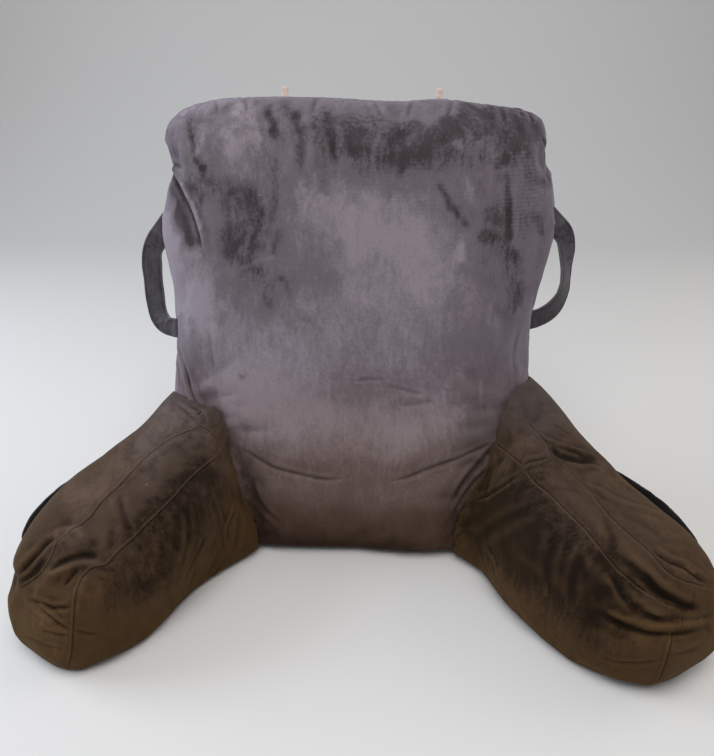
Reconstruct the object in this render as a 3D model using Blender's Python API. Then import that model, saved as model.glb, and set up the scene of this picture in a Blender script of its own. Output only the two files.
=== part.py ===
# Reading pillow that stands on the floor: a filled backrest, two filled arms that splay
# forward from its sides, a strap handle on each side, a slack pocket on each arm's outer
# side and two short tape tabs in the top seam. Metres, +Z up, +Y towards the back.

import math

import bmesh
import bpy
from mathutils import Vector, noise

# Driving dimensions
PILLOW_HEIGHT = 0.611
SEWN_GAP = 0.0006
SEAM_HEIGHT = 0.0026
STRAP_WIDTH = 0.028
STRAP_THICKNESS = 0.0038
POCKET_CLOTH = 0.0026
TAB_WIDTH = 0.0085
TAB_HEIGHT = 0.013
TAB_THICKNESS = 0.0022
TAB_ROOT = 0.004
TAB_STEPS = 8
FILLING_LUMP = 0.0022
FILLING_LUMP_SIZE = 0.085

# Moves the sewing frame, whose zero is under the belly, to the middle of the footprint
FOOTPRINT_SHIFT = (-0.0009, 0.0202, 0.0)

# Cloth colours, from the photograph
PLUSH_GREY = (0.115, 0.098, 0.102, 1.0)
PLUSH_BROWN = (0.075, 0.060, 0.052, 1.0)
STRAP_GREY = (0.055, 0.048, 0.050, 1.0)
POCKET_BLACK = (0.020, 0.018, 0.018, 1.0)
TAPE_CREAM = (0.760, 0.640, 0.560, 1.0)

# Backrest sections from the floor up: half widths to the left and right, the front and
# back of the filling, and how square the section is.
BACKREST_SECTIONS = (
    # height, left, right, front, back, squareness
    (0.000, 0.200, 0.200, 0.000, 0.198, 4.0),
    (0.012, 0.224, 0.224, -0.014, 0.211, 3.9),
    (0.035, 0.238, 0.238, -0.021, 0.220, 3.7),
    (0.080, 0.246, 0.244, -0.021, 0.226, 3.4),
    (0.140, 0.250, 0.247, -0.011, 0.229, 3.0),
    (0.210, 0.270, 0.254, 0.008, 0.230, 2.8),
    (0.290, 0.265, 0.251, 0.032, 0.230, 2.7),
    (0.340, 0.265, 0.256, 0.048, 0.230, 2.7),
    (0.390, 0.269, 0.268, 0.064, 0.231, 2.7),
    (0.440, 0.275, 0.278, 0.079, 0.232, 2.7),
    (0.500, 0.262, 0.273, 0.096, 0.232, 2.8),
    (0.537, 0.257, 0.265, 0.106, 0.231, 2.9),
    (0.562, 0.259, 0.261, 0.115, 0.228, 3.0),
    (0.582, 0.254, 0.256, 0.127, 0.220, 3.0),
    (0.598, 0.234, 0.251, 0.142, 0.209, 2.9),
    (0.607, 0.205, 0.236, 0.158, 0.197, 2.8),
    (PILLOW_HEIGHT, 0.170, 0.212, 0.171, 0.186, 2.6),
)
TOP_DROP = (
    # x, drop of the top edge
    (-0.260, 0.006),
    (-0.180, 0.001),
    (-0.090, 0.000),
    (0.020, 0.004),
    (0.060, 0.006),
    (0.110, 0.003),
    (0.180, 0.010),
    (0.260, 0.018),
)
TOP_DROP_FROM = 0.40
# The foot of the belly stands a little further forward on its right
HEM_SWING = 0.012
HEM_SWING_REACH = (-0.020, 0.090)
HEM_SWING_RISE = (0.020, 0.200)
BACKREST_COLUMNS = 60
BACKREST_SEAM_ANGLES = (math.radians(214), math.radians(326))

# Arms: the side outline runs along the arm and up, with its low part pressed flat on the
# floor. Across, the arm is rounded from its inner face to its outer one.
ARM_SIDES = {
    "left": dict(
        hand=-1,
        root=(-0.168, 0.122),
        splay=math.radians(33.5),
        inner_half=0.108,
        outer_half=0.093,
        root_slant=0.46,
        shoulder_lift=0.018,
        foot_hollow=(0.205, 0.075, 0.19),
        outline=(
            # along, up
            (-0.075, 0.020),
            (0.030, -0.028),
            (0.160, -0.030),
            (0.290, -0.030),
            (0.375, -0.020),
            (0.406, 0.020),
            (0.405, 0.070),
            (0.386, 0.118),
            (0.350, 0.152),
            (0.298, 0.178),
            (0.220, 0.196),
            (0.140, 0.213),
            (0.060, 0.228),
            (-0.020, 0.225),
            (-0.080, 0.150),
        ),
        # distance along, then the inner and the outer top seam in degrees from the crest
        seams=((-0.10, -55, -16), (0.13, -55, -12), (0.22, -38, -5), (0.33, -36, -3),
               (0.36, -27, 0), (0.40, -25, 8)),
        pocket_gape=0.024,
        folds=(
            dict(name="joint crease", width=0.015, depth=0.009,
                 points=((0.085, 0.060, 0.235), (0.091, 0.010, 0.240), (0.097, -0.047, 0.193),
                         (0.096, -0.077, 0.138), (0.099, -0.102, 0.028))),
            dict(name="front pinch", width=0.013, depth=0.011,
                 points=((0.385, 0.060, 0.098), (0.390, 0.002, 0.094), (0.384, -0.057, 0.104))),
            dict(name="hollow under the hump", width=0.015, depth=0.010,
                 points=((0.342, -0.068, 0.142), (0.373, -0.042, 0.130), (0.380, -0.020, 0.128))),
            dict(name="outer end crease", width=0.014, depth=0.009,
                 points=((0.392, 0.006, 0.112), (0.352, 0.000, 0.147), (0.315, -0.004, 0.168))),
            dict(name="inner pucker", width=0.016, depth=0.006,
                 points=((0.290, -0.104, 0.110), (0.300, -0.108, 0.070), (0.305, -0.104, 0.030))),
        ),
    ),
    "right": dict(
        hand=1,
        root=(0.178, 0.116),
        splay=math.radians(30.5),
        inner_half=0.122,
        outer_half=0.092,
        root_slant=0.74,
        shoulder_lift=0.020,
        foot_hollow=(0.150, 0.045, 0.13),
        outline=(
            (-0.075, 0.020),
            (0.030, -0.028),
            (0.160, -0.030),
            (0.300, -0.030),
            (0.380, -0.020),
            (0.415, 0.020),
            (0.424, 0.070),
            (0.414, 0.116),
            (0.378, 0.146),
            (0.310, 0.166),
            (0.230, 0.184),
            (0.150, 0.206),
            (0.070, 0.228),
            (-0.020, 0.230),
            (-0.080, 0.150),
        ),
        seams=((-0.10, -40, -14), (0.18, -33, -8), (0.25, -23, -5), (0.33, -23, -4),
               (0.39, -20, -2), (0.42, -15, 8)),
        pocket_gape=0.017,
        folds=(
            dict(name="joint crease", width=0.015, depth=0.009,
                 points=((0.130, 0.060, 0.215), (0.122, -0.014, 0.212), (0.115, -0.047, 0.174),
                         (0.100, -0.078, 0.108), (0.104, -0.112, 0.035))),
            dict(name="front overhang", width=0.015, depth=0.016,
                 points=((0.353, -0.099, 0.108), (0.383, -0.085, 0.108), (0.408, -0.063, 0.107),
                         (0.421, -0.030, 0.103), (0.412, 0.030, 0.082), (0.385, 0.075, 0.075))),
            dict(name="top valley", width=0.016, depth=0.011,
                 points=((0.300, -0.058, 0.166), (0.374, -0.060, 0.142), (0.404, -0.034, 0.128),
                         (0.411, 0.002, 0.122))),
            dict(name="ridge hollow", width=0.015, depth=0.010,
                 points=((0.157, 0.000, 0.208), (0.205, 0.022, 0.196), (0.240, 0.050, 0.180))),
            dict(name="inner pucker", width=0.018, depth=0.007,
                 points=((0.270, -0.110, 0.120), (0.285, -0.118, 0.070), (0.290, -0.116, 0.030))),
        ),
    ),
}
ARM_CENTRE = (0.170, 0.085)
ARM_ROUNDNESS = 3.0
ARM_OUTLINE_STEPS = 46
# Faces across each panel of an arm, between its edges and the two close rows at each seam
ARM_PANEL_STEPS = (5, 1, 1, 4, 1, 1, 8)
ARM_EDGE_ANGLE = math.radians(86)
ARM_SEAM_HALF_ANGLE = math.radians(2.6)
BACKREST_SEAM_HALF_ANGLE = math.radians(2.2)
SHOULDER_REACH = (0.040, 0.170)
SLANT_REACH = (0.060, 0.260)
SLANT_RISE = (0.020, 0.190)
FOOT_HOLLOW_RISE = (0.030, 0.130)

# Broad folds of the backrest, each a line through points on its surface
BACKREST_FOLDS = (
    dict(name="left joint crease", width=0.016, depth=0.009,
         points=((-0.232, 0.070, 0.262), (-0.212, 0.036, 0.221), (-0.183, 0.015, 0.193),
                 (-0.157, -0.002, 0.138), (-0.144, -0.012, 0.093), (-0.137, -0.018, 0.020))),
    dict(name="right joint crease", width=0.016, depth=0.009,
         points=((0.238, 0.060, 0.262), (0.226, 0.030, 0.215), (0.196, 0.012, 0.174),
                 (0.159, -0.004, 0.108), (0.140, -0.014, 0.056), (0.132, -0.018, 0.016))),
    dict(name="belly crease left", width=0.014, depth=0.004,
         points=((-0.156, 0.002, 0.176), (-0.134, -0.008, 0.162), (-0.113, -0.011, 0.147),
                 (-0.081, -0.013, 0.138), (-0.015, -0.014, 0.131))),
    dict(name="belly crease right", width=0.014, depth=0.004,
         points=((0.164, 0.000, 0.174), (0.136, -0.009, 0.162), (0.101, -0.012, 0.148),
                 (0.067, -0.013, 0.132), (0.042, -0.014, 0.126))),
    dict(name="waist crease", width=0.030, depth=0.004,
         points=((-0.060, 0.012, 0.215), (0.040, 0.012, 0.212), (0.140, 0.022, 0.225))),
    dict(name="left ear tuck", width=0.016, depth=0.007,
         points=((-0.262, 0.190, 0.534), (-0.252, 0.130, 0.528), (-0.215, 0.098, 0.460))),
    dict(name="right ear tuck", width=0.014, depth=0.006,
         points=((0.262, 0.190, 0.556), (0.256, 0.140, 0.548), (0.244, 0.112, 0.515))),
    dict(name="top dip", width=0.030, depth=0.004,
         points=((-0.040, 0.165, 0.611), (0.040, 0.165, 0.609), (0.080, 0.168, 0.609))),
    dict(name="left drag line", width=0.022, depth=0.005,
         points=((-0.110, 0.135, 0.592), (-0.120, 0.112, 0.545), (-0.160, 0.100, 0.470))),
)

# Strap handles: centre line from the upper sewn end to the lower one, and how far the
# strap is turned about its own length, in degrees.
HANDLE_PATHS = {
    "left": (
        # x, y, z, turn
        (-0.244, 0.150, 0.462, 8),
        (-0.257, 0.150, 0.453, 8),
        (-0.268, 0.146, 0.441, 6),
        (-0.279, 0.142, 0.427, 2),
        (-0.287, 0.138, 0.411, 0),
        (-0.289, 0.135, 0.393, -2),
        (-0.289, 0.132, 0.373, -4),
        (-0.289, 0.130, 0.353, -6),
        (-0.288, 0.127, 0.334, -6),
        (-0.284, 0.122, 0.319, -2),
        (-0.274, 0.114, 0.310, 4),
        (-0.260, 0.105, 0.309, 12),
        (-0.244, 0.098, 0.311, 14),
    ),
    "right": (
        (0.241, 0.142, 0.473, -6),
        (0.258, 0.140, 0.462, -6),
        (0.275, 0.140, 0.448, -4),
        (0.288, 0.138, 0.433, 4),
        (0.293, 0.136, 0.416, 18),
        (0.295, 0.135, 0.398, 34),
        (0.296, 0.134, 0.379, 46),
        (0.296, 0.133, 0.360, 48),
        (0.292, 0.132, 0.344, 38),
        (0.283, 0.130, 0.329, 20),
        (0.271, 0.129, 0.319, 6),
        (0.257, 0.128, 0.313, -2),
        (0.240, 0.130, 0.309, -6),
    ),
}
HANDLE_CORNER_ROUND = 0.0012

# Pockets on the arms' outer sides: their reach along the arm and up, at the middle
POCKET_ALONG = (0.165, 0.345)
POCKET_UP = (0.030, 0.136)
POCKET_COLUMNS = 16
POCKET_ROWS = 9

TAB_PLACES = ((-0.096, 0.1795), (0.109, 0.1795))
TAB_LEAN = math.radians(8)


def clear_scene():
    for thing in list(bpy.data.objects):
        bpy.data.objects.remove(thing)


def cloth_material(name, colour, roughness=0.92):
    material = bpy.data.materials.new(name)
    material.use_nodes = True
    shader = material.node_tree.nodes["Principled BSDF"]
    shader.inputs["Base Color"].default_value = colour
    shader.inputs["Roughness"].default_value = roughness
    shader.inputs["Metallic"].default_value = 0.0
    return material


def curve_through(rows, at, column):
    """Reads a column of a table, as a smooth curve that never swings past its rows."""
    if at <= rows[0][0]:
        return rows[0][column]
    if at >= rows[-1][0]:
        return rows[-1][column]
    gaps = [rows[i + 1][0] - rows[i][0] for i in range(len(rows) - 1)]
    slopes = [(rows[i + 1][column] - rows[i][column]) / gaps[i] for i in range(len(gaps))]
    tangents = [slopes[0]]
    for i in range(1, len(slopes)):
        before, after = slopes[i - 1], slopes[i]
        tangents.append(0.0 if before * after <= 0 else 2 * before * after / (before + after))
    tangents.append(slopes[-1])
    i = max(k for k in range(len(gaps)) if rows[k][0] <= at)
    t = (at - rows[i][0]) / gaps[i]
    start, end = rows[i][column], rows[i + 1][column]
    return (
        start * (1 + 2 * t) * (1 - t) ** 2
        + tangents[i] * gaps[i] * t * (1 - t) ** 2
        + end * t * t * (3 - 2 * t)
        - tangents[i + 1] * gaps[i] * t * t * (1 - t)
    )


def smooth_step(value, low, high):
    t = min(1.0, max(0.0, (value - low) / (high - low)))
    return t * t * (3 - 2 * t)


def rounded(angle, power):
    """Cosine and sine of a superellipse, which is squarer for a larger power."""
    c, s = math.cos(angle), math.sin(angle)
    return (
        math.copysign(abs(c) ** (2 / power), c),
        math.copysign(abs(s) ** (2 / power), s),
    )


def distance_to_line(point, corners):
    """Nearest distance to a bent line, and how far along it that is, from 0 to 1."""
    nearest, place = 1e9, 0.0
    for i in range(len(corners) - 1):
        start, end = Vector(corners[i]), Vector(corners[i + 1])
        run = end - start
        t = min(1.0, max(0.0, (point - start).dot(run) / run.length_squared))
        away = (point - (start + t * run)).length
        if away < nearest:
            nearest, place = away, (i + t) / (len(corners) - 1)
    return nearest, place


def fold_depth(point, folds):
    """How far the cloth is drawn in at a point: a trough with a low roll on each side."""
    total = 0.0
    for fold in folds:
        away, place = distance_to_line(point, fold["points"])
        across = away / fold["width"]
        if across < 3.5:
            fade = smooth_step(place, -0.05, 0.2) * smooth_step(1 - place, -0.05, 0.2)
            total += fold["depth"] * fade * (1 - 0.55 * across**2) * math.exp(-0.5 * across**2)
    return total


def filling_lumps(point):
    return FILLING_LUMP * noise.noise(point / FILLING_LUMP_SIZE + Vector((3.1, 7.7, 1.3)))


def grid_mesh(name, rows):
    """A mesh of quads over rows of points, each of them a closed loop."""
    mesh = bpy.data.meshes.new(name)
    shape = bmesh.new()
    made = [[shape.verts.new(p) for p in row] for row in rows]
    for low, high in zip(made, made[1:]):
        for j in range(len(low)):
            k = (j + 1) % len(low)
            shape.faces.new((low[j], low[k], high[k], high[j]))
    return mesh, shape, made


def finish_mesh(mesh, shape):
    bmesh.ops.remove_doubles(shape, verts=shape.verts, dist=1e-6)
    bmesh.ops.triangulate(shape, faces=shape.faces)
    bmesh.ops.recalc_face_normals(shape, faces=shape.faces)
    shape.to_mesh(mesh)
    shape.free()
    mesh.shade_smooth()
    return mesh


def add_pillow_frame():
    frame = bpy.data.objects.new("pillow_frame", None)
    frame.location = FOOTPRINT_SHIFT
    bpy.context.scene.collection.objects.link(frame)
    return frame


def add_object(name, mesh, material, frame):
    thing = bpy.data.objects.new(name, mesh)
    mesh.materials.append(material)
    thing.parent = frame
    bpy.context.scene.collection.objects.link(thing)
    return thing


def seam_loops(angles, seams):
    """Column angles with three close ones at each seam, so that the seam stands as a ridge."""
    spread = []
    close = BACKREST_SEAM_HALF_ANGLE
    for angle in angles:
        if all(abs(angle - seam) > 2 * close for seam in seams):
            spread.append(angle)
    for seam in seams:
        spread += [seam - close, seam, seam + close]
    return sorted(spread)


# The backrest
def backrest_point(angle, height):
    row = [curve_through(BACKREST_SECTIONS, height, c) for c in range(1, 6)]
    left, right, front, back, power = row
    across, deep = rounded(angle, power)
    x = across * (right if across > 0 else left)
    y = (front + back) / 2 + deep * (back - front) / 2
    if deep < 0:
        low = 1 - smooth_step(height, *HEM_SWING_RISE)
        y += HEM_SWING * deep * low * smooth_step(x, *HEM_SWING_REACH)
    return Vector((x, y, height))


def backrest_normal(angle, height):
    step = 0.004
    low = max(0.0, height - step)
    high = min(PILLOW_HEIGHT, height + step)
    round_run = backrest_point(angle + 0.01, height) - backrest_point(angle - 0.01, height)
    up_run = backrest_point(angle, high) - backrest_point(angle, low)
    return round_run.cross(up_run).normalized()


def backrest_surface(angle, height, seams):
    point = backrest_point(angle, height)
    fade = smooth_step(height, 0.0, 0.03) * smooth_step(PILLOW_HEIGHT - height, 0.0, 0.012)
    move = filling_lumps(point) * fade - fold_depth(point, BACKREST_FOLDS) * fade
    if angle in seams:
        move += SEAM_HEIGHT * fade
    drop = curve_through(TOP_DROP, point.x, 1) * smooth_step(height, TOP_DROP_FROM, PILLOW_HEIGHT)
    return point + backrest_normal(angle, height) * move - Vector((0, 0, drop))


def backrest_mesh():
    even = [2 * math.pi * i / BACKREST_COLUMNS for i in range(BACKREST_COLUMNS)]
    angles = seam_loops(even, BACKREST_SEAM_ANGLES)
    heights = [0.0, 0.012, 0.028] + [0.05 + 0.0225 * i for i in range(23)]
    heights += [0.562, 0.577, 0.589, 0.598, 0.604, 0.608, PILLOW_HEIGHT]
    rows = [[backrest_surface(a, h, BACKREST_SEAM_ANGLES) for a in angles] for h in heights]
    mesh, shape, made = grid_mesh("backrest", rows)
    for ring in (made[0], made[-1]):
        close_flat(shape, ring)
    return finish_mesh(mesh, shape)


def close_flat(shape, ring):
    """Closes a ring with faces from its front points to its back ones."""
    count = len(ring)
    start = max(range(count), key=lambda i: ring[i].co.x)
    near, far = start, start
    for _ in range(count // 2):
        next_near, next_far = (near + 1) % count, (far - 1) % count
        corners = []
        for corner in (ring[near], ring[next_near], ring[next_far], ring[far]):
            if corner not in corners:
                corners.append(corner)
        if len(corners) > 2:
            shape.faces.new(corners)
        near, far = next_near, next_far


# The arms
def outline_density(place):
    """Few points underneath and inside the backrest, more where the front end folds."""
    if place[1] < 0.004 or place[0] < 0.0:
        return 0.5
    return 1.5 if place[0] > 0.28 else 1.0


def outline_loop(corners, count):
    """Points on a smooth closed curve through the corners, closer where it folds."""
    fine = []
    total = len(corners)
    for i in range(total):
        p0, p1, p2, p3 = (corners[(i + k - 1) % total] for k in range(4))
        for j in range(12):
            t = j / 12
            fine.append(tuple(
                0.5 * (2 * p1[k] + (p2[k] - p0[k]) * t
                       + (2 * p0[k] - 5 * p1[k] + 4 * p2[k] - p3[k]) * t * t
                       + (3 * p1[k] - p0[k] - 3 * p2[k] + p3[k]) * t**3)
                for k in range(2)
            ))
    lengths = [0.0]
    for i in range(len(fine)):
        a, b = fine[i], fine[(i + 1) % len(fine)]
        lengths.append(lengths[-1] + math.dist(a, b) * outline_density(a))
    points = []
    for n in range(count):
        want = lengths[-1] * n / count
        i = max(k for k in range(len(fine)) if lengths[k] <= want)
        t = (want - lengths[i]) / (lengths[i + 1] - lengths[i])
        a, b = fine[i], fine[(i + 1) % len(fine)]
        points.append((a[0] + t * (b[0] - a[0]), a[1] + t * (b[1] - a[1])))
    return points


class Arm:
    """One arm, in its own frame: along its length, across it (positive outwards) and up."""

    def __init__(self, sizes):
        self.sizes = sizes
        self.loop = outline_loop(sizes["outline"], ARM_OUTLINE_STEPS)
        self.fine = outline_loop(sizes["outline"], 240)
        hand, splay = sizes["hand"], sizes["splay"]
        self.forward = Vector((hand * math.sin(splay), -math.cos(splay), 0))
        self.outward = Vector((hand * math.cos(splay), math.sin(splay), 0))

    def world(self, place):
        root = Vector((*self.sizes["root"], 0))
        return root + self.forward * place[0] + self.outward * place[1] + Vector((0, 0, place[2]))

    def local(self, outline_point, angle):
        """Surface point for a point of the outline and an angle across, from inner to outer."""
        inward, side = rounded(angle, ARM_ROUNDNESS)
        half = self.sizes["outer_half"] if side > 0 else self.sizes["inner_half"]
        along = ARM_CENTRE[0] + (outline_point[0] - ARM_CENTRE[0]) * inward
        up = ARM_CENTRE[1] + (outline_point[1] - ARM_CENTRE[1]) * inward
        lift = self.sizes["shoulder_lift"] * (1 - smooth_step(along, *SHOULDER_REACH))
        lift *= smooth_step(side, -0.7, 0.35) * smooth_step(up, 0.08, 0.2)
        slant = self.sizes["root_slant"] * (1 - smooth_step(along, *SLANT_REACH))
        if side < 0:
            middle, reach, share = self.sizes["foot_hollow"]
            hollow = share * math.exp(-(((along - middle) / reach) ** 2))
            half *= 1 - slant * smooth_step(up, *SLANT_RISE)
            half *= 1 - hollow * (1 - smooth_step(up, *FOOT_HOLLOW_RISE))
        return Vector((along, side * half, up + lift))

    def outline_reach(self, direction):
        """Distance from the arm's centre to its outline, along a direction in its side view."""
        best, reach = 9.0, 0.1
        for p in self.fine:
            angle = math.atan2(p[1] - ARM_CENTRE[1], p[0] - ARM_CENTRE[0])
            off = abs((angle - direction + math.pi) % (2 * math.pi) - math.pi)
            if off < best:
                best, reach = off, math.hypot(p[0] - ARM_CENTRE[0], p[1] - ARM_CENTRE[1])
        return reach

    def outer_side(self, along, up):
        """Point of the outer face at a distance along and a height."""
        run, rise = along - ARM_CENTRE[0], up - ARM_CENTRE[1]
        share = math.hypot(run, rise) / self.outline_reach(math.atan2(rise, run))
        side = (1 - min(0.999, share) ** ARM_ROUNDNESS) ** (1 / ARM_ROUNDNESS)
        return Vector((along, side * self.sizes["outer_half"], up))

    def column_angles(self, outline_point):
        """Angles across: even ones, with three close ones at each of the two seams."""
        along = outline_point[0]
        inner = math.radians(curve_through(self.sizes["seams"], along, 1))
        outer = math.radians(curve_through(self.sizes["seams"], along, 2))
        close = ARM_SEAM_HALF_ANGLE
        stops = (-ARM_EDGE_ANGLE, inner - close, inner, inner + close,
                 outer - close, outer, outer + close, ARM_EDGE_ANGLE)
        angles = []
        for i, count in enumerate(ARM_PANEL_STEPS):
            angles += [stops[i] + (stops[i + 1] - stops[i]) * k / count for k in range(count)]
        return angles + [stops[-1]], (inner, outer)

    def rings(self):
        """Rings round the arm's outline, from the inner face to the outer one."""
        columns = []
        for index, point in enumerate(self.loop):
            angles, seams = self.column_angles(point)
            before, after = self.loop[index - 1], self.loop[(index + 1) % len(self.loop)]
            column = []
            for angle in angles:
                place = self.local(point, angle)
                run = self.local(after, angle) - self.local(before, angle)
                turn = self.local(point, angle + 0.02) - self.local(point, angle - 0.02)
                normal = turn.cross(run).normalized()
                if normal.dot(place - Vector((ARM_CENTRE[0], 0, ARM_CENTRE[1]))) < 0:
                    normal = -normal
                fade = smooth_step(place.z, 0.0, 0.03)
                move = (filling_lumps(self.world(place)) - fold_depth(place, self.sizes["folds"])) * fade
                if angle in seams:
                    move += SEAM_HEIGHT * fade
                place = place + normal * move
                place.z = max(0.0, place.z)
                column.append(self.world(place))
            columns.append(column)
        return [[column[k] for column in columns] for k in range(len(columns[0]))]


def arm_mesh(name, arm):
    mesh, shape, made = grid_mesh(name, arm.rings())
    for ring in (made[0], made[-1]):
        middle = sum((v.co for v in ring), Vector()) / len(ring)
        pole = shape.verts.new(middle)
        for i in range(len(ring)):
            shape.faces.new((ring[i], ring[(i + 1) % len(ring)], pole))
    return finish_mesh(mesh, shape)


def cut_by(thing, cutter):
    boolean = thing.modifiers.new("seated against the backrest", "BOOLEAN")
    boolean.operation = "DIFFERENCE"
    boolean.solver = "EXACT"
    boolean.object = cutter


def grown_copy(thing, name, distance, frame):
    """A hidden cutter: the object with each point moved outwards along its normal."""
    mesh = thing.data.copy()
    for vertex in mesh.vertices:
        vertex.co += vertex.normal * distance
        if vertex.co.z < 0.001:
            vertex.co.z = -0.01
    cutter = bpy.data.objects.new(name, mesh)
    cutter.parent = frame
    cutter.hide_render = True
    cutter.display_type = "WIRE"
    bpy.context.scene.collection.objects.link(cutter)
    return cutter


# Handles, pockets and tabs
def handle_mesh(name, stations):
    """A flat strap swept along its stations, folded where it turns."""
    rows = []
    half_w, half_t = STRAP_WIDTH / 2, STRAP_THICKNESS / 2
    section = (
        (-half_w, -half_t + HANDLE_CORNER_ROUND), (-half_w + HANDLE_CORNER_ROUND, -half_t),
        (0, -half_t), (half_w - HANDLE_CORNER_ROUND, -half_t),
        (half_w, -half_t + HANDLE_CORNER_ROUND), (half_w, half_t - HANDLE_CORNER_ROUND),
        (half_w - HANDLE_CORNER_ROUND, half_t), (0, half_t),
        (-half_w + HANDLE_CORNER_ROUND, half_t), (-half_w, half_t - HANDLE_CORNER_ROUND),
    )
    centres = [Vector(s[:3]) for s in stations]
    for i, centre in enumerate(centres):
        run = (centres[min(i + 1, len(centres) - 1)] - centres[max(i - 1, 0)]).normalized()
        face = Vector((0, -1, 0))
        across = run.cross(face).normalized()
        face = across.cross(run).normalized()
        turn = math.radians(stations[i][3])
        wide = across * math.cos(turn) + face * math.sin(turn)
        thick = face * math.cos(turn) - across * math.sin(turn)
        rows.append([centre + wide * a + thick * b for a, b in section])
    mesh, shape, made = grid_mesh(name, rows)
    for ring in (made[0], made[-1]):
        shape.faces.new(ring)
    return finish_mesh(mesh, shape)


def pocket_mesh(name, arm):
    """A patch of cloth sewn down at its sides and foot, with its mouth standing open."""
    inner, outer = [], []
    for j in range(POCKET_ROWS + 1):
        rise = j / POCKET_ROWS
        inner_row, outer_row = [], []
        for i in range(POCKET_COLUMNS + 1):
            run = i / POCKET_COLUMNS
            along = POCKET_ALONG[0] + run * (POCKET_ALONG[1] - POCKET_ALONG[0])
            along += 0.012 * (1 - rise) * (0.5 - run)
            up = POCKET_UP[0] + rise * (POCKET_UP[1] - POCKET_UP[0]) - 0.020 * run * rise
            place = arm.outer_side(along, up)
            step = 0.003
            side_run = arm.outer_side(along + step, up) - arm.outer_side(along - step, up)
            side_rise = arm.outer_side(along, up + step) - arm.outer_side(along, up - step)
            normal = side_rise.cross(side_run).normalized()
            if normal.y < 0:
                normal = -normal
            lumps = filling_lumps(arm.world(place))
            gape = arm.sizes["pocket_gape"] * math.sin(math.pi * run) ** 0.7 * rise**1.6
            off = max(0.0, lumps) + 0.0008 + gape
            inner_row.append(arm.world(place + normal * off))
            outer_row.append(arm.world(place + normal * (off + POCKET_CLOTH)))
        inner.append(inner_row)
        outer.append(outer_row)
    mesh = bpy.data.meshes.new(name)
    shape = bmesh.new()
    near = [[shape.verts.new(p) for p in row] for row in inner]
    far = [[shape.verts.new(p) for p in row] for row in outer]
    for sheet in (near, far):
        for j in range(POCKET_ROWS):
            for i in range(POCKET_COLUMNS):
                shape.faces.new((sheet[j][i], sheet[j][i + 1], sheet[j + 1][i + 1], sheet[j + 1][i]))
    rim = [(0, i) for i in range(POCKET_COLUMNS)]
    rim += [(j, POCKET_COLUMNS) for j in range(POCKET_ROWS)]
    rim += [(POCKET_ROWS, i) for i in range(POCKET_COLUMNS, 0, -1)]
    rim += [(j, 0) for j in range(POCKET_ROWS, 0, -1)]
    for n, (j, i) in enumerate(rim):
        l, k = rim[(n + 1) % len(rim)]
        shape.faces.new((near[j][i], near[l][k], far[l][k], far[j][i]))
    return finish_mesh(mesh, shape)


def tab_mesh(name, x, y):
    """A short folded tape that stands out of the top seam, with a rounded fold on top."""
    rows = []
    base = PILLOW_HEIGHT - curve_through(TOP_DROP, x, 1) - TAB_ROOT
    for step in range(TAB_STEPS + 1):
        rise = step / TAB_STEPS
        rounding = math.sqrt(1 - max(0.0, (rise - 0.8) / 0.2) ** 2 * 0.84)
        half_t = TAB_THICKNESS / 2 * rounding
        half_w = TAB_WIDTH / 2 * (1.0 - 0.06 * rise)
        up = rise * (TAB_HEIGHT + TAB_ROOT)
        centre = Vector((x + 0.001 * rise, y + up * math.sin(TAB_LEAN), base + up))
        rows.append([centre + Vector(c) for c in (
            (-half_w, -half_t, 0), (0, -half_t * 1.1, 0), (half_w, -half_t, 0),
            (half_w, half_t, 0), (0, half_t * 1.1, 0), (-half_w, half_t, 0))])
    mesh, shape, made = grid_mesh(name, rows)
    for ring in (made[0], made[-1]):
        shape.faces.new(ring)
    return finish_mesh(mesh, shape)


def main():
    clear_scene()
    plush = cloth_material("plush_backrest", PLUSH_GREY)
    plush_arm = cloth_material("plush_arm", PLUSH_BROWN)
    strap = cloth_material("strap", STRAP_GREY)
    lining = cloth_material("pocket", POCKET_BLACK)
    tape = cloth_material("tape", TAPE_CREAM, 0.8)

    frame = add_pillow_frame()
    backrest = add_object("backrest", backrest_mesh(), plush, frame)
    seat = grown_copy(backrest, "backrest_seat_cutter", SEWN_GAP, frame)
    for side, sizes in ARM_SIDES.items():
        arm = Arm(sizes)
        piece = add_object(f"arm_{side}", arm_mesh(f"arm_{side}", arm), plush_arm, frame)
        cut_by(piece, seat)
        add_object(f"pocket_{side}", pocket_mesh(f"pocket_{side}", arm), lining, frame)
        strap_mesh = handle_mesh(f"handle_{side}", HANDLE_PATHS[side])
        cut_by(add_object(f"handle_{side}", strap_mesh, strap, frame), seat)
    for side, (x, y) in zip(("left", "right"), TAB_PLACES):
        tab = add_object(f"tab_{side}", tab_mesh(f"tab_{side}", x, y), tape, frame)
        cut_by(tab, seat)


main()
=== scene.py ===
# Finish of the reading pillow: filled plush backrest and arms, strap handles, side pockets and tape tabs.
# Metres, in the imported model's frame: +X right, +Y towards the back, +Z up.
import math

import bmesh
import bpy
import numpy as np
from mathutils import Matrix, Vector, noise
from mathutils.bvhtree import BVHTree


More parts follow.
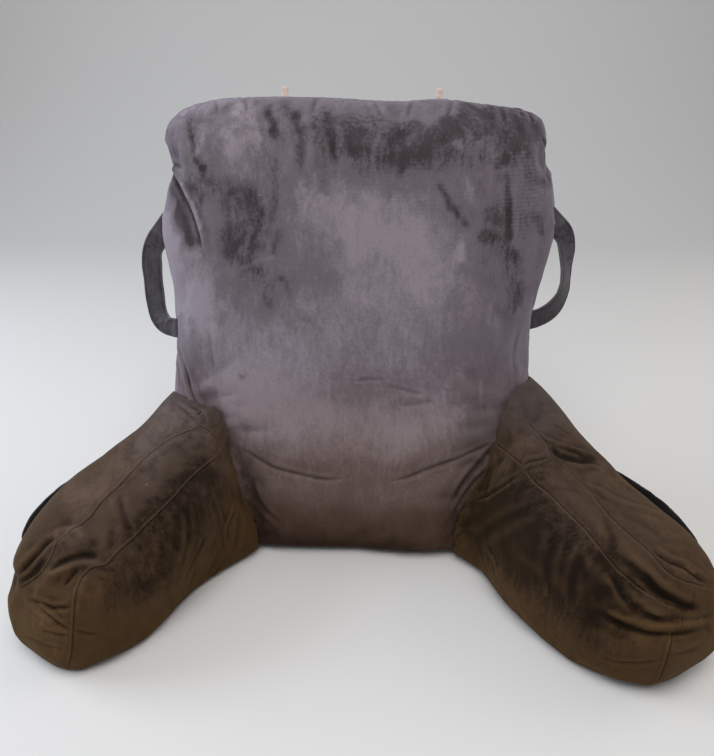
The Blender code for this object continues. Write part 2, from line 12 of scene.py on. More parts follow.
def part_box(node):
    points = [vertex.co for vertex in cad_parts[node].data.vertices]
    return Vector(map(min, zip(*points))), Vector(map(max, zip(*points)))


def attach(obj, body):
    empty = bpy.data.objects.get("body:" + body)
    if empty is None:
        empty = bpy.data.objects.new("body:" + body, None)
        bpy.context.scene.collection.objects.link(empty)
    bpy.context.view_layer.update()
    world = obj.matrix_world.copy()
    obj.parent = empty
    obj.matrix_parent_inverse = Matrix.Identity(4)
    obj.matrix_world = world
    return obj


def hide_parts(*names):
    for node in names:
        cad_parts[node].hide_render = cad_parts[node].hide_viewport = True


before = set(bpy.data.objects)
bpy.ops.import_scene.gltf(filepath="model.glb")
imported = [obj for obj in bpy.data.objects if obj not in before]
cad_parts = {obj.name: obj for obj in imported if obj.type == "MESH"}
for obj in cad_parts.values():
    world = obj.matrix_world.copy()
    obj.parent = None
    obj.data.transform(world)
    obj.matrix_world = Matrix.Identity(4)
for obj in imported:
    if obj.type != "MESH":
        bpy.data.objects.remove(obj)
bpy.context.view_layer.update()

body = "root"
clearOfNeighbour = 0.0006    # air between two sewn pieces
millimetre = 0.001

# The photo's camera: paths written in its pixels are cast on to the cloth
photoView = {
    "width": 714,
    "height": 756,
    "focal": 716.0,
    "eye": (-0.0009, -0.8198, 0.700),
    "tiltDown": math.radians(26.5),
    "sensor": 36.0,
    "searchFrom": 0.6,        # where along a ray that misses the search for cloth beside it starts
    "searchStep": 0.02,
    "searchSteps": 40,
}


def pixelRay(u, v):
    x = (u - photoView["width"] / 2) / photoView["focal"]
    y = (v - photoView["height"] / 2) / photoView["focal"]
    sink, reach = math.sin(photoView["tiltDown"]), math.cos(photoView["tiltDown"])
    return Vector((x, reach - sink * y, -(sink + reach * y))).normalized()


def pixelsOf(points):
    sink, reach = math.sin(photoView["tiltDown"]), math.cos(photoView["tiltDown"])
    away = points - np.array(photoView["eye"])
    depth = away[:, 1] * reach - away[:, 2] * sink
    up = away[:, 1] * sink + away[:, 2] * reach
    u = photoView["width"] / 2 + photoView["focal"] * away[:, 0] / depth
    v = photoView["height"] / 2 - photoView["focal"] * up / depth
    return u, v


def addCamera():
    data = bpy.data.cameras.new("photoCamera")
    data.sensor_width = photoView["sensor"]
    data.lens = photoView["focal"] / photoView["height"] * photoView["sensor"]
    data.clip_start = 0.02
    camera = bpy.data.objects.new("photoCamera", data)
    camera.location = photoView["eye"]
    camera.rotation_euler = (math.pi / 2 - photoView["tiltDown"], 0, 0)
    bpy.context.scene.collection.objects.link(camera)
    bpy.context.scene.camera = camera


addCamera()
print("camera set")


# Reading and writing a mesh as arrays
def pointsOf(mesh):
    points = np.empty(len(mesh.vertices) * 3, np.float64)
    mesh.vertices.foreach_get("co", points)
    return points.reshape(-1, 3)


def normalsOf(mesh):
    normals = np.empty(len(mesh.vertices) * 3, np.float32)
    mesh.vertices.foreach_get("normal", normals)
    return normals.reshape(-1, 3).astype(np.float64)


def setPoints(mesh, points):
    mesh.vertices.foreach_set("co", points.astype(np.float32).ravel())
    mesh.update()


def edgesOf(mesh):
    edges = np.empty(len(mesh.edges) * 2, np.int64)
    mesh.edges.foreach_get("vertices", edges)
    return edges.reshape(-1, 2)


def neighbourMean(values, edges, count):
    ends = np.concatenate([edges[:, 0], edges[:, 1]])
    others = np.concatenate([edges[:, 1], edges[:, 0]])
    degree = np.maximum(np.bincount(ends, minlength=count), 1)
    if values.ndim == 1:
        return np.bincount(ends, weights=values[others], minlength=count) / degree
    columns = [np.bincount(ends, weights=values[others, k], minlength=count) for k in range(values.shape[1])]
    return np.stack(columns, axis=1) / degree[:, None]


def smoothed(mesh, rounds, share=0.5, keep=None):
    points, edges = pointsOf(mesh), edgesOf(mesh)
    free = np.ones(len(points)) if keep is None else 1 - keep
    for _ in range(rounds):
        step = (neighbourMean(points, edges, len(points)) - points) * share
        points += step * free[:, None]
        back = (neighbourMean(points, edges, len(points)) - points) * (share * -1.04)
        points += back * free[:, None]
    setPoints(mesh, points)


def setAttribute(mesh, name, values):
    attribute = mesh.attributes.get(name) or mesh.attributes.new(name, "FLOAT", "POINT")
    attribute.data.foreach_set("value", values.astype(np.float32))


def treeOf(piece):
    return BVHTree.FromObject(piece, bpy.context.evaluated_depsgraph_get())


def addPiece(name, mesh):
    piece = bpy.data.objects.new(name, mesh)
    bpy.context.scene.collection.objects.link(piece)
    return piece


def smoothStep(value, low, high):
    t = np.clip((value - low) / (high - low), 0, 1)
    return t * t * (3 - 2 * t)


def lumpField(points, size, seed):
    offset = Vector((seed * 1.7, seed * 0.9, seed * 2.3))
    return np.array([noise.noise(Vector(p) / size + offset) for p in points])


# Lines that run over the cloth
clothLine = {
    "pixelStep": 2.0,
    "step": 0.003,
    "evenings": 4,            # rounds that even the small jumps where the ray slides over a bump
}
foldShape = {
    # in widths of the fold
    "reach": 4.5,
    "peak": 1.9,              # how pointed a sharp fold is
    "rollAt": 1.7,            # where the cloth rolls up beside it
    "rollWidth": 0.95,
}
seamShape = {
    # in widths of the seam
    "reach": 5,
    "ridge": 0.62,
    "grooveAt": 1.15,
    "groove": 0.42,
    "pucker": 0.3,
}


def smoothLine(corners, step):
    corners = [Vector(c) for c in corners]
    ends = [corners[0] * 2 - corners[1]] + corners + [corners[-1] * 2 - corners[-2]]
    line = []
    for i in range(1, len(ends) - 2):
        p0, p1, p2, p3 = ends[i - 1:i + 3]
        count = max(2, int((p2 - p1).length / step))
        for k in range(count):
            t = k / count
            line.append(0.5 * (2 * p1 + (p2 - p0) * t + (2 * p0 - 5 * p1 + 4 * p2 - p3) * t * t
                               + (3 * p1 - p0 - 3 * p2 + p3) * t ** 3))
    return line + [corners[-1]]


def clothBesideRay(tree, eye, ray):
    # a ray that just passes the edge takes the cloth nearest to it
    best = None
    for step in range(photoView["searchSteps"]):
        far = photoView["searchFrom"] + photoView["searchStep"] * step
        hit, up, _, away = tree.find_nearest(eye + ray * far)
        if best is None or away < best[0]:
            best = (away, hit, up)
    return best[1], best[2]


def lineOnCloth(tree, corners):
    # corners of two numbers are photo pixels, corners of three are places in space near the cloth
    spots, ups = [], []
    eye = Vector(photoView["eye"])
    flat = [c for c in corners if len(c) == 2]
    solid = [c for c in corners if len(c) == 3]
    if len(flat) > 1:
        for p in smoothLine([(*c, 0) for c in flat], clothLine["pixelStep"]):
            ray = pixelRay(p.x, p.y)
            hit, up, _, _ = tree.ray_cast(eye, ray)
            if hit is None:
                hit, up = clothBesideRay(tree, eye, ray)
            spots.append(hit)
            ups.append(up)
    if solid:
        chain = ([tuple(spots[-1])] if spots else []) + solid
        for p in smoothLine(chain, clothLine["step"])[1 if spots else 0:]:
            hit, up, _, _ = tree.find_nearest(p)
            spots.append(hit)
            ups.append(up)
    spots, ups = np.array(spots), np.array(ups)
    for _ in range(clothLine["evenings"]):
        spots[1:-1] = (spots[:-2] + 2 * spots[1:-1] + spots[2:]) / 4
        ups[1:-1] = (ups[:-2] + 2 * ups[1:-1] + ups[2:]) / 4
    runs = np.gradient(spots, axis=0)
    runs /= np.linalg.norm(runs, axis=1)[:, None] + 1e-12
    ups -= runs * (ups * runs).sum(1)[:, None]
    ups /= np.linalg.norm(ups, axis=1)[:, None] + 1e-12
    return spots, ups, runs


def besideLine(points, line, reach, under=0.05):
    # For the vertices within reach: signed distance to the line's left, share along it, way past its ends
    spots, ups, runs = line
    near = np.where(((points > spots.min(0) - reach) & (points < spots.max(0) + reach)).all(1))[0]
    nearest = np.empty(len(near), np.int64)
    for start in range(0, len(near), 20000):
        part = points[near[start:start + 20000]]
        gap = ((part[:, None, :] - spots[None]) ** 2).sum(2)
        nearest[start:start + 20000] = gap.argmin(1)
    away = points[near] - spots[nearest]
    close = (np.linalg.norm(away, axis=1) < reach) & ((away * ups[nearest]).sum(1) > -under)
    near, nearest, away = near[close], nearest[close], away[close]
    side = (away * np.cross(ups, runs)[nearest]).sum(1)
    past = (away * runs[nearest]).sum(1)
    inner = (nearest > 0) & (nearest < len(spots) - 1)
    past[inner] = 0
    return near, nearest, side, past


def pressFold(points, line, fold, under=0.05, taper=0.22):
    width, depth, roll = (size * millimetre for size in fold[1:4])
    sharp, lean = fold[4], fold[6] if len(fold) > 6 else 0.0
    near, nearest, side, past = besideLine(points, line, width * foldShape["reach"], under)
    s = side / width
    place = nearest / max(1, len(line[0]) - 1)
    fade = smoothStep(place, -0.02, taper) * smoothStep(1 - place, -0.02, taper)
    fade = fade * np.exp(-(past / width) ** 2)
    trough = (1 - sharp) * np.exp(-s * s) + sharp * np.exp(-foldShape["peak"] * np.abs(s))
    rollAt, rollWidth = foldShape["rollAt"], foldShape["rollWidth"]
    rolls = (1 + lean) * np.exp(-((s - rollAt) / rollWidth) ** 2)
    rolls += (1 - lean) * np.exp(-((s + rollAt) / rollWidth) ** 2)
    move = (roll * rolls - depth * trough) * fade
    points[near] += line[1][nearest] * move[:, None]


def sewSeam(points, line, width, height, groove):
    # A plain seam: the turned-in edges lift a narrow ridge, with a groove along one side of it; the share it
    # returns puts a painted highlight on the ridge and painted shade in the groove
    near, nearest, side, past = besideLine(points, line, width * seamShape["reach"])
    s = side / width
    place = nearest / max(1, len(line[0]) - 1)
    fade = smoothStep(place, -0.01, 0.03) * smoothStep(1 - place, -0.01, 0.03) * np.exp(-(past / width) ** 2)
    pucker = 1 + seamShape["pucker"] * np.sin(nearest * 1.35) * np.sin(nearest * 0.41 + 1)
    ridge = np.exp(-(s / seamShape["ridge"]) ** 2)
    dip = np.exp(-((s - seamShape["grooveAt"]) / seamShape["groove"]) ** 2)
    points[near] += line[1][nearest] * ((height * ridge - groove * dip) * fade * pucker)[:, None]
    return near, (ridge - dip) * fade


# Filled cushions: remeshed, blown up as cloth, folded and seamed
cushionSkin = {
    "mergeWithin": 1e-5,
    "evenings": 6,
    "finerBelow": 4.0,              # folds narrower than this, in millimetres, get finer cloth
    "finerReach": 0.008,
    "rumpledFrom": 0.03,            # height over which the rumples of the filling grow to their full size
    "fullCrease": 0.55 * millimetre,
}
coverCloth = {
    "frames": 20,
    "quality": 5,
    "mass": 0.25,
    "tension": 18,
    "compression": 14,
    "shear": 6,
    "airDamping": 4,
    "heldBelow": (0.004, 0.022),    # heights between which the standing edge comes free
    "heldBeside": 0.006,            # half width of the strip that a seam holds
    "heldReach": 0.014,
}


def skinOf(node, name, voxel, shrink):
    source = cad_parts[node]
    mesh = source.data.copy()
    mesh.materials.clear()
    shape = bmesh.new()
    shape.from_mesh(mesh)
    bmesh.ops.remove_doubles(shape, verts=shape.verts, dist=cushionSkin["mergeWithin"])
    bmesh.ops.recalc_face_normals(shape, faces=shape.faces)
    shape.to_mesh(mesh)
    shape.free()
    piece = addPiece(name, mesh)
    remesh = piece.modifiers.new("evenSkin", "REMESH")
    remesh.mode = "VOXEL"
    remesh.voxel_size = voxel
    remesh.adaptivity = 0
    applyModifiers(piece)
    smoothed(piece.data, cushionSkin["evenings"])
    points = pointsOf(piece.data) - normalsOf(piece.data) * shrink
    setPoints(piece.data, points)
    return piece


def applyModifiers(piece):
    evaluated = piece.evaluated_get(bpy.context.evaluated_depsgraph_get())
    mesh = bpy.data.meshes.new_from_object(evaluated)
    old = piece.data
    piece.modifiers.clear()
    piece.data = mesh
    bpy.data.meshes.remove(old)
    mesh.name = piece.name


def blowUp(piece, cushion, heldLines):
    # Blender's cloth as a slightly oversized cover, held along its seams and where it stands
    mesh = piece.data
    start = pointsOf(mesh)
    held = 1 - smoothStep(start[:, 2], *coverCloth["heldBelow"])
    for line in heldLines:
        near, _, side, _ = besideLine(start, line, coverCloth["heldReach"])
        held[near] = np.maximum(held[near], np.exp(-(side / coverCloth["heldBeside"]) ** 2))
    group = piece.vertex_groups.new(name="held")
    for i in np.where(held > 0.02)[0]:
        group.add([int(i)], float(held[i]), "REPLACE")
    cloth = piece.modifiers.new("cover", "CLOTH")
    settings = cloth.settings
    settings.quality = coverCloth["quality"]
    settings.mass = coverCloth["mass"]
    settings.tension_stiffness = coverCloth["tension"]
    settings.compression_stiffness = coverCloth["compression"]
    settings.shear_stiffness = coverCloth["shear"]
    settings.bending_stiffness = cushion["bending"]
    settings.use_pressure = True
    settings.uniform_pressure_force = cushion["pressure"]
    settings.shrink_min = -cushion["spareCloth"]
    settings.shrink_max = -cushion["spareCloth"]
    settings.vertex_group_mass = "held"
    settings.effector_weights.gravity = 0
    settings.air_damping = coverCloth["airDamping"]
    for frameNumber in range(1, coverCloth["frames"] + 1):
        bpy.context.scene.frame_set(frameNumber)
    applyModifiers(piece)
    bpy.context.scene.frame_set(1)
    piece.vertex_groups.clear()
    moved = pointsOf(piece.data) - start
    length = np.linalg.norm(moved, axis=1) + 1e-9
    capped = cushion["swellCap"] * np.tanh(length / cushion["swellCap"])
    setPoints(piece.data, start + moved * (capped / length)[:, None])
    smoothed(piece.data, 1)
    print(piece.name, "cover moved", round(float(length.max()) * 1000, 1), "mm at most")


def subdivideOnce(piece):
    finer = piece.modifiers.new("finer", "SUBSURF")
    finer.levels = 1
    finer.render_levels = 1
    applyModifiers(piece)


def refineNear(piece, lines, reach):
    shape = bmesh.new()
    shape.from_mesh(piece.data)
    points = pointsOf(piece.data)
    chosen = np.zeros(len(points), bool)
    for line in lines:
        near, _, side, past = besideLine(points, line, reach * 2)
        chosen[near[(np.abs(side) < reach) & (np.abs(past) < reach)]] = True
    shape.verts.ensure_lookup_table()
    edges = [e for e in shape.edges if chosen[e.verts[0].index] and chosen[e.verts[1].index]]
    bmesh.ops.subdivide_edges(shape, edges=edges, cuts=1, use_grid_fill=True)
    shape.to_mesh(piece.data)
    shape.free()


def standFlat(points):
    # Pressed flat where the pillow stands
    points[:, 2] = np.where(points[:, 2] < 0.0, 0.0, points[:, 2])


def creaseTone(mesh):
    # Below nought in a hollow, above on a ridge, from how far a point stands out of its neighbours; it sets
    # the painted shade in hollows and the painted highlight on ridges
    points, normals, edges = pointsOf(mesh), normalsOf(mesh), edgesOf(mesh)
    mean = points.copy()
    for _ in range(6):
        mean = neighbourMean(mean, edges, len(points)) * 0.5 + mean * 0.5
    out = ((points - mean) * normals).sum(1)
    for _ in range(2):
        out = neighbourMean(out, edges, len(points))
    return np.clip(out / cushionSkin["fullCrease"], -1, 1)


brush = {
    "raggedSize": 0.017,      # size of the wobbles along a stroke's edge
    "raggedPixels": 10,
    "fullWidth": 12,          # strokes narrower than this, in pixels, wobble less
    "sideOn": (0.02, 0.25),   # how far the cloth faces the camera where the paint fades in
    "base": {"ruffle": 0.12, "ribbed": 0.0},
}


def brushOn(mesh, name, strokes, base):
    # Painted by strokes in the photo's pixels where the photo sees the cloth, with ragged edges
    points, normals = pointsOf(mesh), normalsOf(mesh)
    u, v = pixelsOf(points)
    raggedU = lumpField(points, brush["raggedSize"], 11) * brush["raggedPixels"]
    raggedV = lumpField(points, brush["raggedSize"], 23) * brush["raggedPixels"]
    towards = np.array(photoView["eye"]) - points
    towards /= np.linalg.norm(towards, axis=1)[:, None]
    seen = smoothStep((towards * normals).sum(1), *brush["sideOn"])
    paint = np.full(len(points), base)
    for _, width, tone, path in strokes:
        loose = min(1.0, width / brush["fullWidth"])
        gap = np.full(len(points), 1e9)
        for p in smoothLine([(*c, 0) for c in path], max(2.0, width / 3)):
            gap = np.minimum(gap, (u + raggedU * loose - p.x) ** 2 + (v + raggedV * loose - p.y) ** 2)
        paint += tone * np.exp(-gap / width ** 2) * seen
    setAttribute(mesh, name, np.clip(paint, -1, 1))


def makeCushion(cushion):
    piece = skinOf(cushion["node"], cushion["name"], cushion["voxel"], cushion["shrink"])
    tree = treeOf(piece)
    seams = {key: lineOnCloth(tree, path) for key, path in cushion["seams"].items()}
    blowUp(piece, cushion, list(seams.values()) + [lineOnCloth(tree, p) for p in cushion["joint"]])
    subdivideOnce(piece)
    tree = treeOf(piece)
    seams = {key: lineOnCloth(tree, path) for key, path in cushion["seams"].items()}
    folds = [(fold, lineOnCloth(tree, fold[5])) for fold in cushion["folds"]]
    sharpLines = list(seams.values()) + [line for fold, line in folds if fold[1] < cushionSkin["finerBelow"]]
    refineNear(piece, sharpLines, cushionSkin["finerReach"])
    points = pointsOf(piece.data)
    size, height = cushion["rumple"]
    rough = lumpField(points, size, 3) * height
    rough *= smoothStep(points[:, 2], 0.0, cushionSkin["rumpledFrom"])
    points += normalsOf(piece.data) * rough[:, None]
    sewn = np.zeros(len(points))
    for fold, line in folds:
        pressFold(points, line, fold)
    for line in seams.values():
        near, share = sewSeam(points, line, *cushion["seam"])
        sewn[near] = np.where(np.abs(share) > np.abs(sewn[near]), share, sewn[near])
    standFlat(points)
    setPoints(piece.data, points)
    piece.data.shade_smooth()
    brushOn(piece.data, "napAndPaintedLight", cushion["napAndPaintedLight"], cushion["napBase"])
    for name, base in brush["base"].items():
        brushOn(piece.data, name, cushion[name], base)
    # the sewn share sets the painted highlight on seam ridges and painted shade in seam grooves
    setAttribute(piece.data, "sewn", sewn)
    return piece


def keepClear(piece, neighbour, gap, reach, search=0.06):
    # Moves what lies inside a neighbour, or closer than the gap, back out of it
    tree = treeOf(neighbour)
    points = pointsOf(piece.data)
    corners = np.array([corner[:] for corner in neighbour.bound_box])
    low, high = corners.min(0) - reach, corners.max(0) + reach
    moved = 0
    for i in np.where(((points > low) & (points < high)).all(1))[0]:
        hit, up, _, away = tree.find_nearest(Vector(points[i]), search)
        if hit is None:
            continue
        height = (Vector(points[i]) - hit).dot(up)
        if height < gap:
            points[i] = hit + up * gap
            moved += 1
    setPoints(piece.data, points)
    print(piece.name, "kept clear of", neighbour.name, "at", moved, "points")


def finishCushion(piece, cushion, material):
    # painted shade in hollows and painted highlight on ridges
    setAttribute(piece.data, "crease", creaseTone(piece.data))
    piece.data.materials.append(material)
    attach(piece, body)
    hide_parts(cushion["node"])
    print(piece.name, "has", len(piece.data.polygons), "faces")


# Materials
def nodeTree(name):
    material = bpy.data.materials.new(name)
    material.use_nodes = True
    tree = material.node_tree
    tree.nodes.clear()
    output = tree.nodes.new("ShaderNodeOutputMaterial")
    shader = tree.nodes.new("ShaderNodeBsdfPrincipled")
    tree.links.new(shader.outputs[0], output.inputs[0])
    return material, tree, shader


def addNoise(tree, coordinate, scale, detail=4.0, roughness=0.55, distortion=0.0, stretch=(1, 1, 1)):
    mapping = tree.nodes.new("ShaderNodeMapping")
    mapping.inputs["Scale"].default_value = stretch
    tree.links.new(coordinate, mapping.inputs["Vector"])
    texture = tree.nodes.new("ShaderNodeTexNoise")
    texture.inputs["Scale"].default_value = scale
    texture.inputs["Detail"].default_value = detail
    texture.inputs["Roughness"].default_value = roughness
    texture.inputs["Distortion"].default_value = distortion
    tree.links.new(mapping.outputs[0], texture.inputs["Vector"])
    return texture.outputs["Fac"]


def addMath(tree, operation, *values, clamp=False):
    step = tree.nodes.new("ShaderNodeMath")
    step.operation = operation
    step.use_clamp = clamp
    for socket, value in zip(step.inputs, values):
        if isinstance(value, (int, float)):
            socket.default_value = value
        else:
            tree.links.new(value, socket)
    return step.outputs[0]


def sharpened(tree, value, low, high):
    step = tree.nodes.new("ShaderNodeMapRange")
    step.interpolation_type = "SMOOTHSTEP"
    step.inputs["From Min"].default_value = low
    step.inputs["From Max"].default_value = high
    tree.links.new(value, step.inputs["Value"])
    return step.outputs[0]


def warped(tree, place, scale, reach):
    drift = tree.nodes.new("ShaderNodeTexNoise")
    drift.inputs["Scale"].default_value = scale
    drift.inputs["Detail"].default_value = 3
    tree.links.new(place, drift.inputs["Vector"])
    push = tree.nodes.new("ShaderNodeVectorMath")
    push.operation = "MULTIPLY_ADD"
    push.inputs[1].default_value = (reach, reach, reach)
    tree.links.new(drift.outputs["Color"], push.inputs[0])
    tree.links.new(place, push.inputs[2])
    return push.outputs[0]


def addRamp(tree, value, stops):
    ramp = tree.nodes.new("ShaderNodeValToRGB")
    ramp.color_ramp.interpolation = "EASE"
    while len(ramp.color_ramp.elements) < len(stops):
        ramp.color_ramp.elements.new(0.5)
    for element, (place, colour) in zip(ramp.color_ramp.elements, stops):
        element.position = place
        element.color = (*colour, 1)
    tree.links.new(value, ramp.inputs[0])
    return ramp.outputs[0]


def addMix(tree, share, first, second, blend="MIX"):
    mix = tree.nodes.new("ShaderNodeMix")
    mix.data_type = "RGBA"
    mix.blend_type = blend
    for socket, value in ((mix.inputs[0], share), (mix.inputs[6], first), (mix.inputs[7], second)):
        if isinstance(value, (int, float)):
            socket.default_value = value
        elif isinstance(value, tuple):
            socket.default_value = (*value, 1)
        else:
            tree.links.new(value, socket)
    return mix.outputs[2]


def addBump(tree, height, strength, distance, under=None):
    bump = tree.nodes.new("ShaderNodeBump")
    bump.inputs["Strength"].default_value = strength
    bump.inputs["Distance"].default_value = distance
    tree.links.new(height, bump.inputs["Height"])
    if under is not None:
        tree.links.new(under, bump.inputs["Normal"])
    return bump.outputs[0]


def objectPlace(tree):
    return tree.nodes.new("ShaderNodeTexCoord").outputs["Object"]


def addAttribute(tree, name):
    attribute = tree.nodes.new("ShaderNodeAttribute")
    attribute.attribute_name = name
    return attribute.outputs["Fac"]


plush = {
    "warpScale": 9.0,
    "warpReach": 0.05,
    # scale, detail, roughness, distortion, stretch
    "broad": (7.0, 4, 0.55),                              # wide brushed areas
    "blotch": (30.0, 4, 0.6, 0.4, (1.25, 1.25, 0.6)),     # hand-sized strokes where the pile is ruffled
    "streak": (85.0, 3, 0.6, 0.3, (1.8, 1.8, 0.35)),
    "fine": (260.0, 3, 0.7),
    "pile": (900.0, 2, 0.7),
    "sharpened": (0.26, 0.74),
    # swing on smooth cloth, added swing on ruffled cloth
    "blotchSwing": (0.09, 0.28),
    "streakSwing": (0.10, 0.22),
    "fineSwing": (0.36, 0.25),
    "ribScale": 64.0,         # ribs 4.9 mm apart
    "ribWander": 1.2,
    "ribSwing": 0.10,
    "napStops": (0.04, 0.5, 0.96),
    "middleShare": 0.45,
    "creaseShare": (0.5, -0.8),     # of the ridge and the hollow tone: painted highlight on ridges, painted shade in creases
    # seams take the same painted highlight on their ridge and painted shade in their groove
    "sewnShare": (0.55, -0.8),
    "tintWaver": 0.10,        # how unevenly the painted shade and warm bounce light at the floor end
    "tintedUpTo": 0.30,       # height over which the cloth loses that painted shade and bounce light
    "pileShade": 0.5,
    "lintScale": 20.0,
    "lintSize": 0.015,
    "lintShare": 0.7,
    "lint": (0.42, 0.38, 0.34),
    # strength, height
    "broadBump": (0.25, 0.004),
    "blotchBump": (0.25, 0.0016),
    "fineBump": (0.5, 0.0009),
    "pileBump": (0.8, 0.0006),
    "roughness": 0.88,
    "specular": 0.15,
    "sheenRoughness": 0.45,
}


def plushColour(tree, still, noises, tones):
    # how far the pile lies towards the light, with the painted light and shade in the nap strokes, from 0
    # (dark) to 1 (pale)
    lie = addMath(tree, "MULTIPLY_ADD", addAttribute(tree, "napAndPaintedLight"), 0.5, 0.5)
    ruffle = addAttribute(tree, "ruffle")
    layers = (
        (sharpened(tree, noises["blotch"], *plush["sharpened"]), plush["blotchSwing"]),
        (sharpened(tree, noises["streak"], *plush["sharpened"]), plush["streakSwing"]),
        (noises["broad"], (tones["patches"], 0.0)),
        (noises["fine"], plush["fineSwing"]),
    )
    for layer, (smooth, ruffled) in layers:
        swing = addMath(tree, "MULTIPLY_ADD", ruffle, ruffled, smooth)
        lie = addMath(tree, "MULTIPLY_ADD", addMath(tree, "SUBTRACT", layer, 0.5), swing, lie)
    ribs = tree.nodes.new("ShaderNodeTexWave")
    ribs.bands_direction = "Z"
    ribs.inputs["Scale"].default_value = plush["ribScale"]
    ribs.inputs["Distortion"].default_value = plush["ribWander"]
    tree.links.new(still, ribs.inputs["Vector"])
    wave = addMath(tree, "SUBTRACT", ribs.outputs["Fac"], 0.5)
    rib = addMath(tree, "MULTIPLY", addAttribute(tree, "ribbed"), plush["ribSwing"])
    lie = addMath(tree, "MULTIPLY_ADD", wave, rib, lie, clamp=True)
    share = plush["middleShare"]
    middle = tuple(a * (1 - share) + b * share for a, b in zip(tones["against"], tones["along"]))
    colour = addRamp(tree, lie, tuple(zip(plush["napStops"], (tones["against"], middle, tones["along"]))))
    # painted highlight on ridges and seam ridges, painted shade in creases and seam grooves
    for name in ("crease", "sewn"):
        height = addAttribute(tree, name)
        for tone, share in zip(("ridgeHighlight", "hollow"), plush[name + "Share"]):
            colour = addMix(tree, addMath(tree, "MULTIPLY", height, share, clamp=True), colour, tones[tone])
    return colour


# Painted shade and warm bounce light from the floor: the cloth's colour and sheen get darker and warmer
# towards the floor
def floorShadeAndBounceRamp(tree, still, broad, tones):
    parts = tree.nodes.new("ShaderNodeSeparateXYZ")
    tree.links.new(still, parts.inputs[0])
    height = addMath(tree, "SUBTRACT", parts.outputs["Z"], plush["tintWaver"] / 2)
    height = addMath(tree, "MULTIPLY_ADD", broad, plush["tintWaver"], height)
    height = addMath(tree, "DIVIDE", height, plush["tintedUpTo"], clamp=True)
    return addRamp(tree, height, tones["floorShadeAndBounce"])


def withPileAndLint(tree, place, colour, pile):
    fleck = addMath(tree, "MULTIPLY_ADD", pile, plush["pileShade"], 1 - plush["pileShade"] / 2)
    shade = tree.nodes.new("ShaderNodeCombineColor")
    for socket in shade.inputs[:3]:
        tree.links.new(fleck, socket)
    colour = addMix(tree, 1.0, colour, shade.outputs[0], "MULTIPLY")
    lint = tree.nodes.new("ShaderNodeTexVoronoi")
    lint.inputs["Scale"].default_value = plush["lintScale"]
    tree.links.new(place, lint.inputs["Vector"])
    speck = addMath(tree, "LESS_THAN", lint.outputs["Distance"], plush["lintSize"])
    return addMix(tree, addMath(tree, "MULTIPLY", speck, plush["lintShare"]), colour, plush["lint"])


def plushMaterial(name, tones):
    material, tree, shader = nodeTree(name)
    still = objectPlace(tree)
    place = warped(tree, still, plush["warpScale"], plush["warpReach"])
    noises = {key: addNoise(tree, place, *plush[key]) for key in ("broad", "blotch", "streak")}
    noises.update({key: addNoise(tree, still, *plush[key]) for key in ("fine", "pile")})
    paintedFloorLight = floorShadeAndBounceRamp(tree, still, noises["broad"], tones)
    colour = plushColour(tree, still, noises, tones)
    colour = addMix(tree, 1.0, colour, paintedFloorLight, "MULTIPLY")
    colour = withPileAndLint(tree, place, colour, noises["pile"])
    # the sheen takes the same painted floor shade and bounce light
    sheenTint = addMix(tree, 1.0, tones["sheenTint"], paintedFloorLight, "MULTIPLY")
    normal = None
    for key in ("broad", "blotch", "fine", "pile"):
        normal = addBump(tree, noises[key], *plush[key + "Bump"], normal)
    tree.links.new(colour, shader.inputs["Base Color"])
    tree.links.new(sheenTint, shader.inputs["Sheen Tint"])
    tree.links.new(normal, shader.inputs["Normal"])
    shader.inputs["Roughness"].default_value = plush["roughness"]
    shader.inputs["Specular IOR Level"].default_value = plush["specular"]
    shader.inputs["Sheen Weight"].default_value = tones["sheen"]
    shader.inputs["Sheen Roughness"].default_value = plush["sheenRoughness"]
    return material


backrestPlush = plushMaterial("plushBackrest", {
    "against": (0.041, 0.031, 0.034),
    "along": (0.262, 0.224, 0.254),
    # the ridge tone is a painted highlight on ridges and seam ridges, the hollow tone painted shade in
    # creases and seam grooves
    "ridgeHighlight": (0.230, 0.200, 0.218),
    "hollow": (0.022, 0.016, 0.016),
    "patches": 0.40,
    "sheen": 0.4,
    "sheenTint": (0.72, 0.67, 0.84),
    # painted shade and warm bounce light, darkest and warmest at the floor
    "floorShadeAndBounce": ((0.0, (0.17, 0.085, 0.035)), (0.20, (0.54, 0.37, 0.23)), (0.42, (0.85, 0.70, 0.54)),
                  (0.70, (0.97, 0.90, 0.84)), (1.0, (1, 1, 1))),
})
# The arms' plush is a darker, browner copy of the backrest's: partly the pile lying the other way, partly
# painted shade and warm bounce light
armPlush = plushMaterial("plushArm", {
    "against": (0.011, 0.006, 0.004),
    "along": (0.136, 0.101, 0.098),
    # the ridge tone is a painted highlight on ridges and seam ridges, the hollow tone painted shade in
    # creases and seam grooves
    "ridgeHighlight": (0.112, 0.084, 0.072),
    "hollow": (0.006, 0.004, 0.003),
    "patches": 0.34,
    "sheen": 0.12,
    "sheenTint": (0.70, 0.60, 0.46),
    # painted shade and warm bounce light, darkest and warmest at the floor
    "floorShadeAndBounce": ((0.0, (0.86, 0.59, 0.20)), (0.35, (0.96, 0.71, 0.33)), (0.58, (0.89, 0.75, 0.52)),
                  (0.78, (0.96, 1, 1))),
})
strapPlush = plushMaterial("plushStrap", {
    "against": (0.030, 0.026, 0.030),
    "along": (0.125, 0.114, 0.128),
    # the ridge tone is a painted highlight on ridges and seam ridges, the hollow tone painted shade in
    # creases and seam grooves
    "ridgeHighlight": (0.130, 0.118, 0.130),
    "hollow": (0.012, 0.010, 0.011),
    "patches": 0.30,
    "sheen": 0.4,
    "sheenTint": (0.72, 0.70, 0.80),
    "floorShadeAndBounce": ((0.0, (0.6, 0.5, 0.4)), (1.0, (1, 1, 1))),
})
print("plush made")


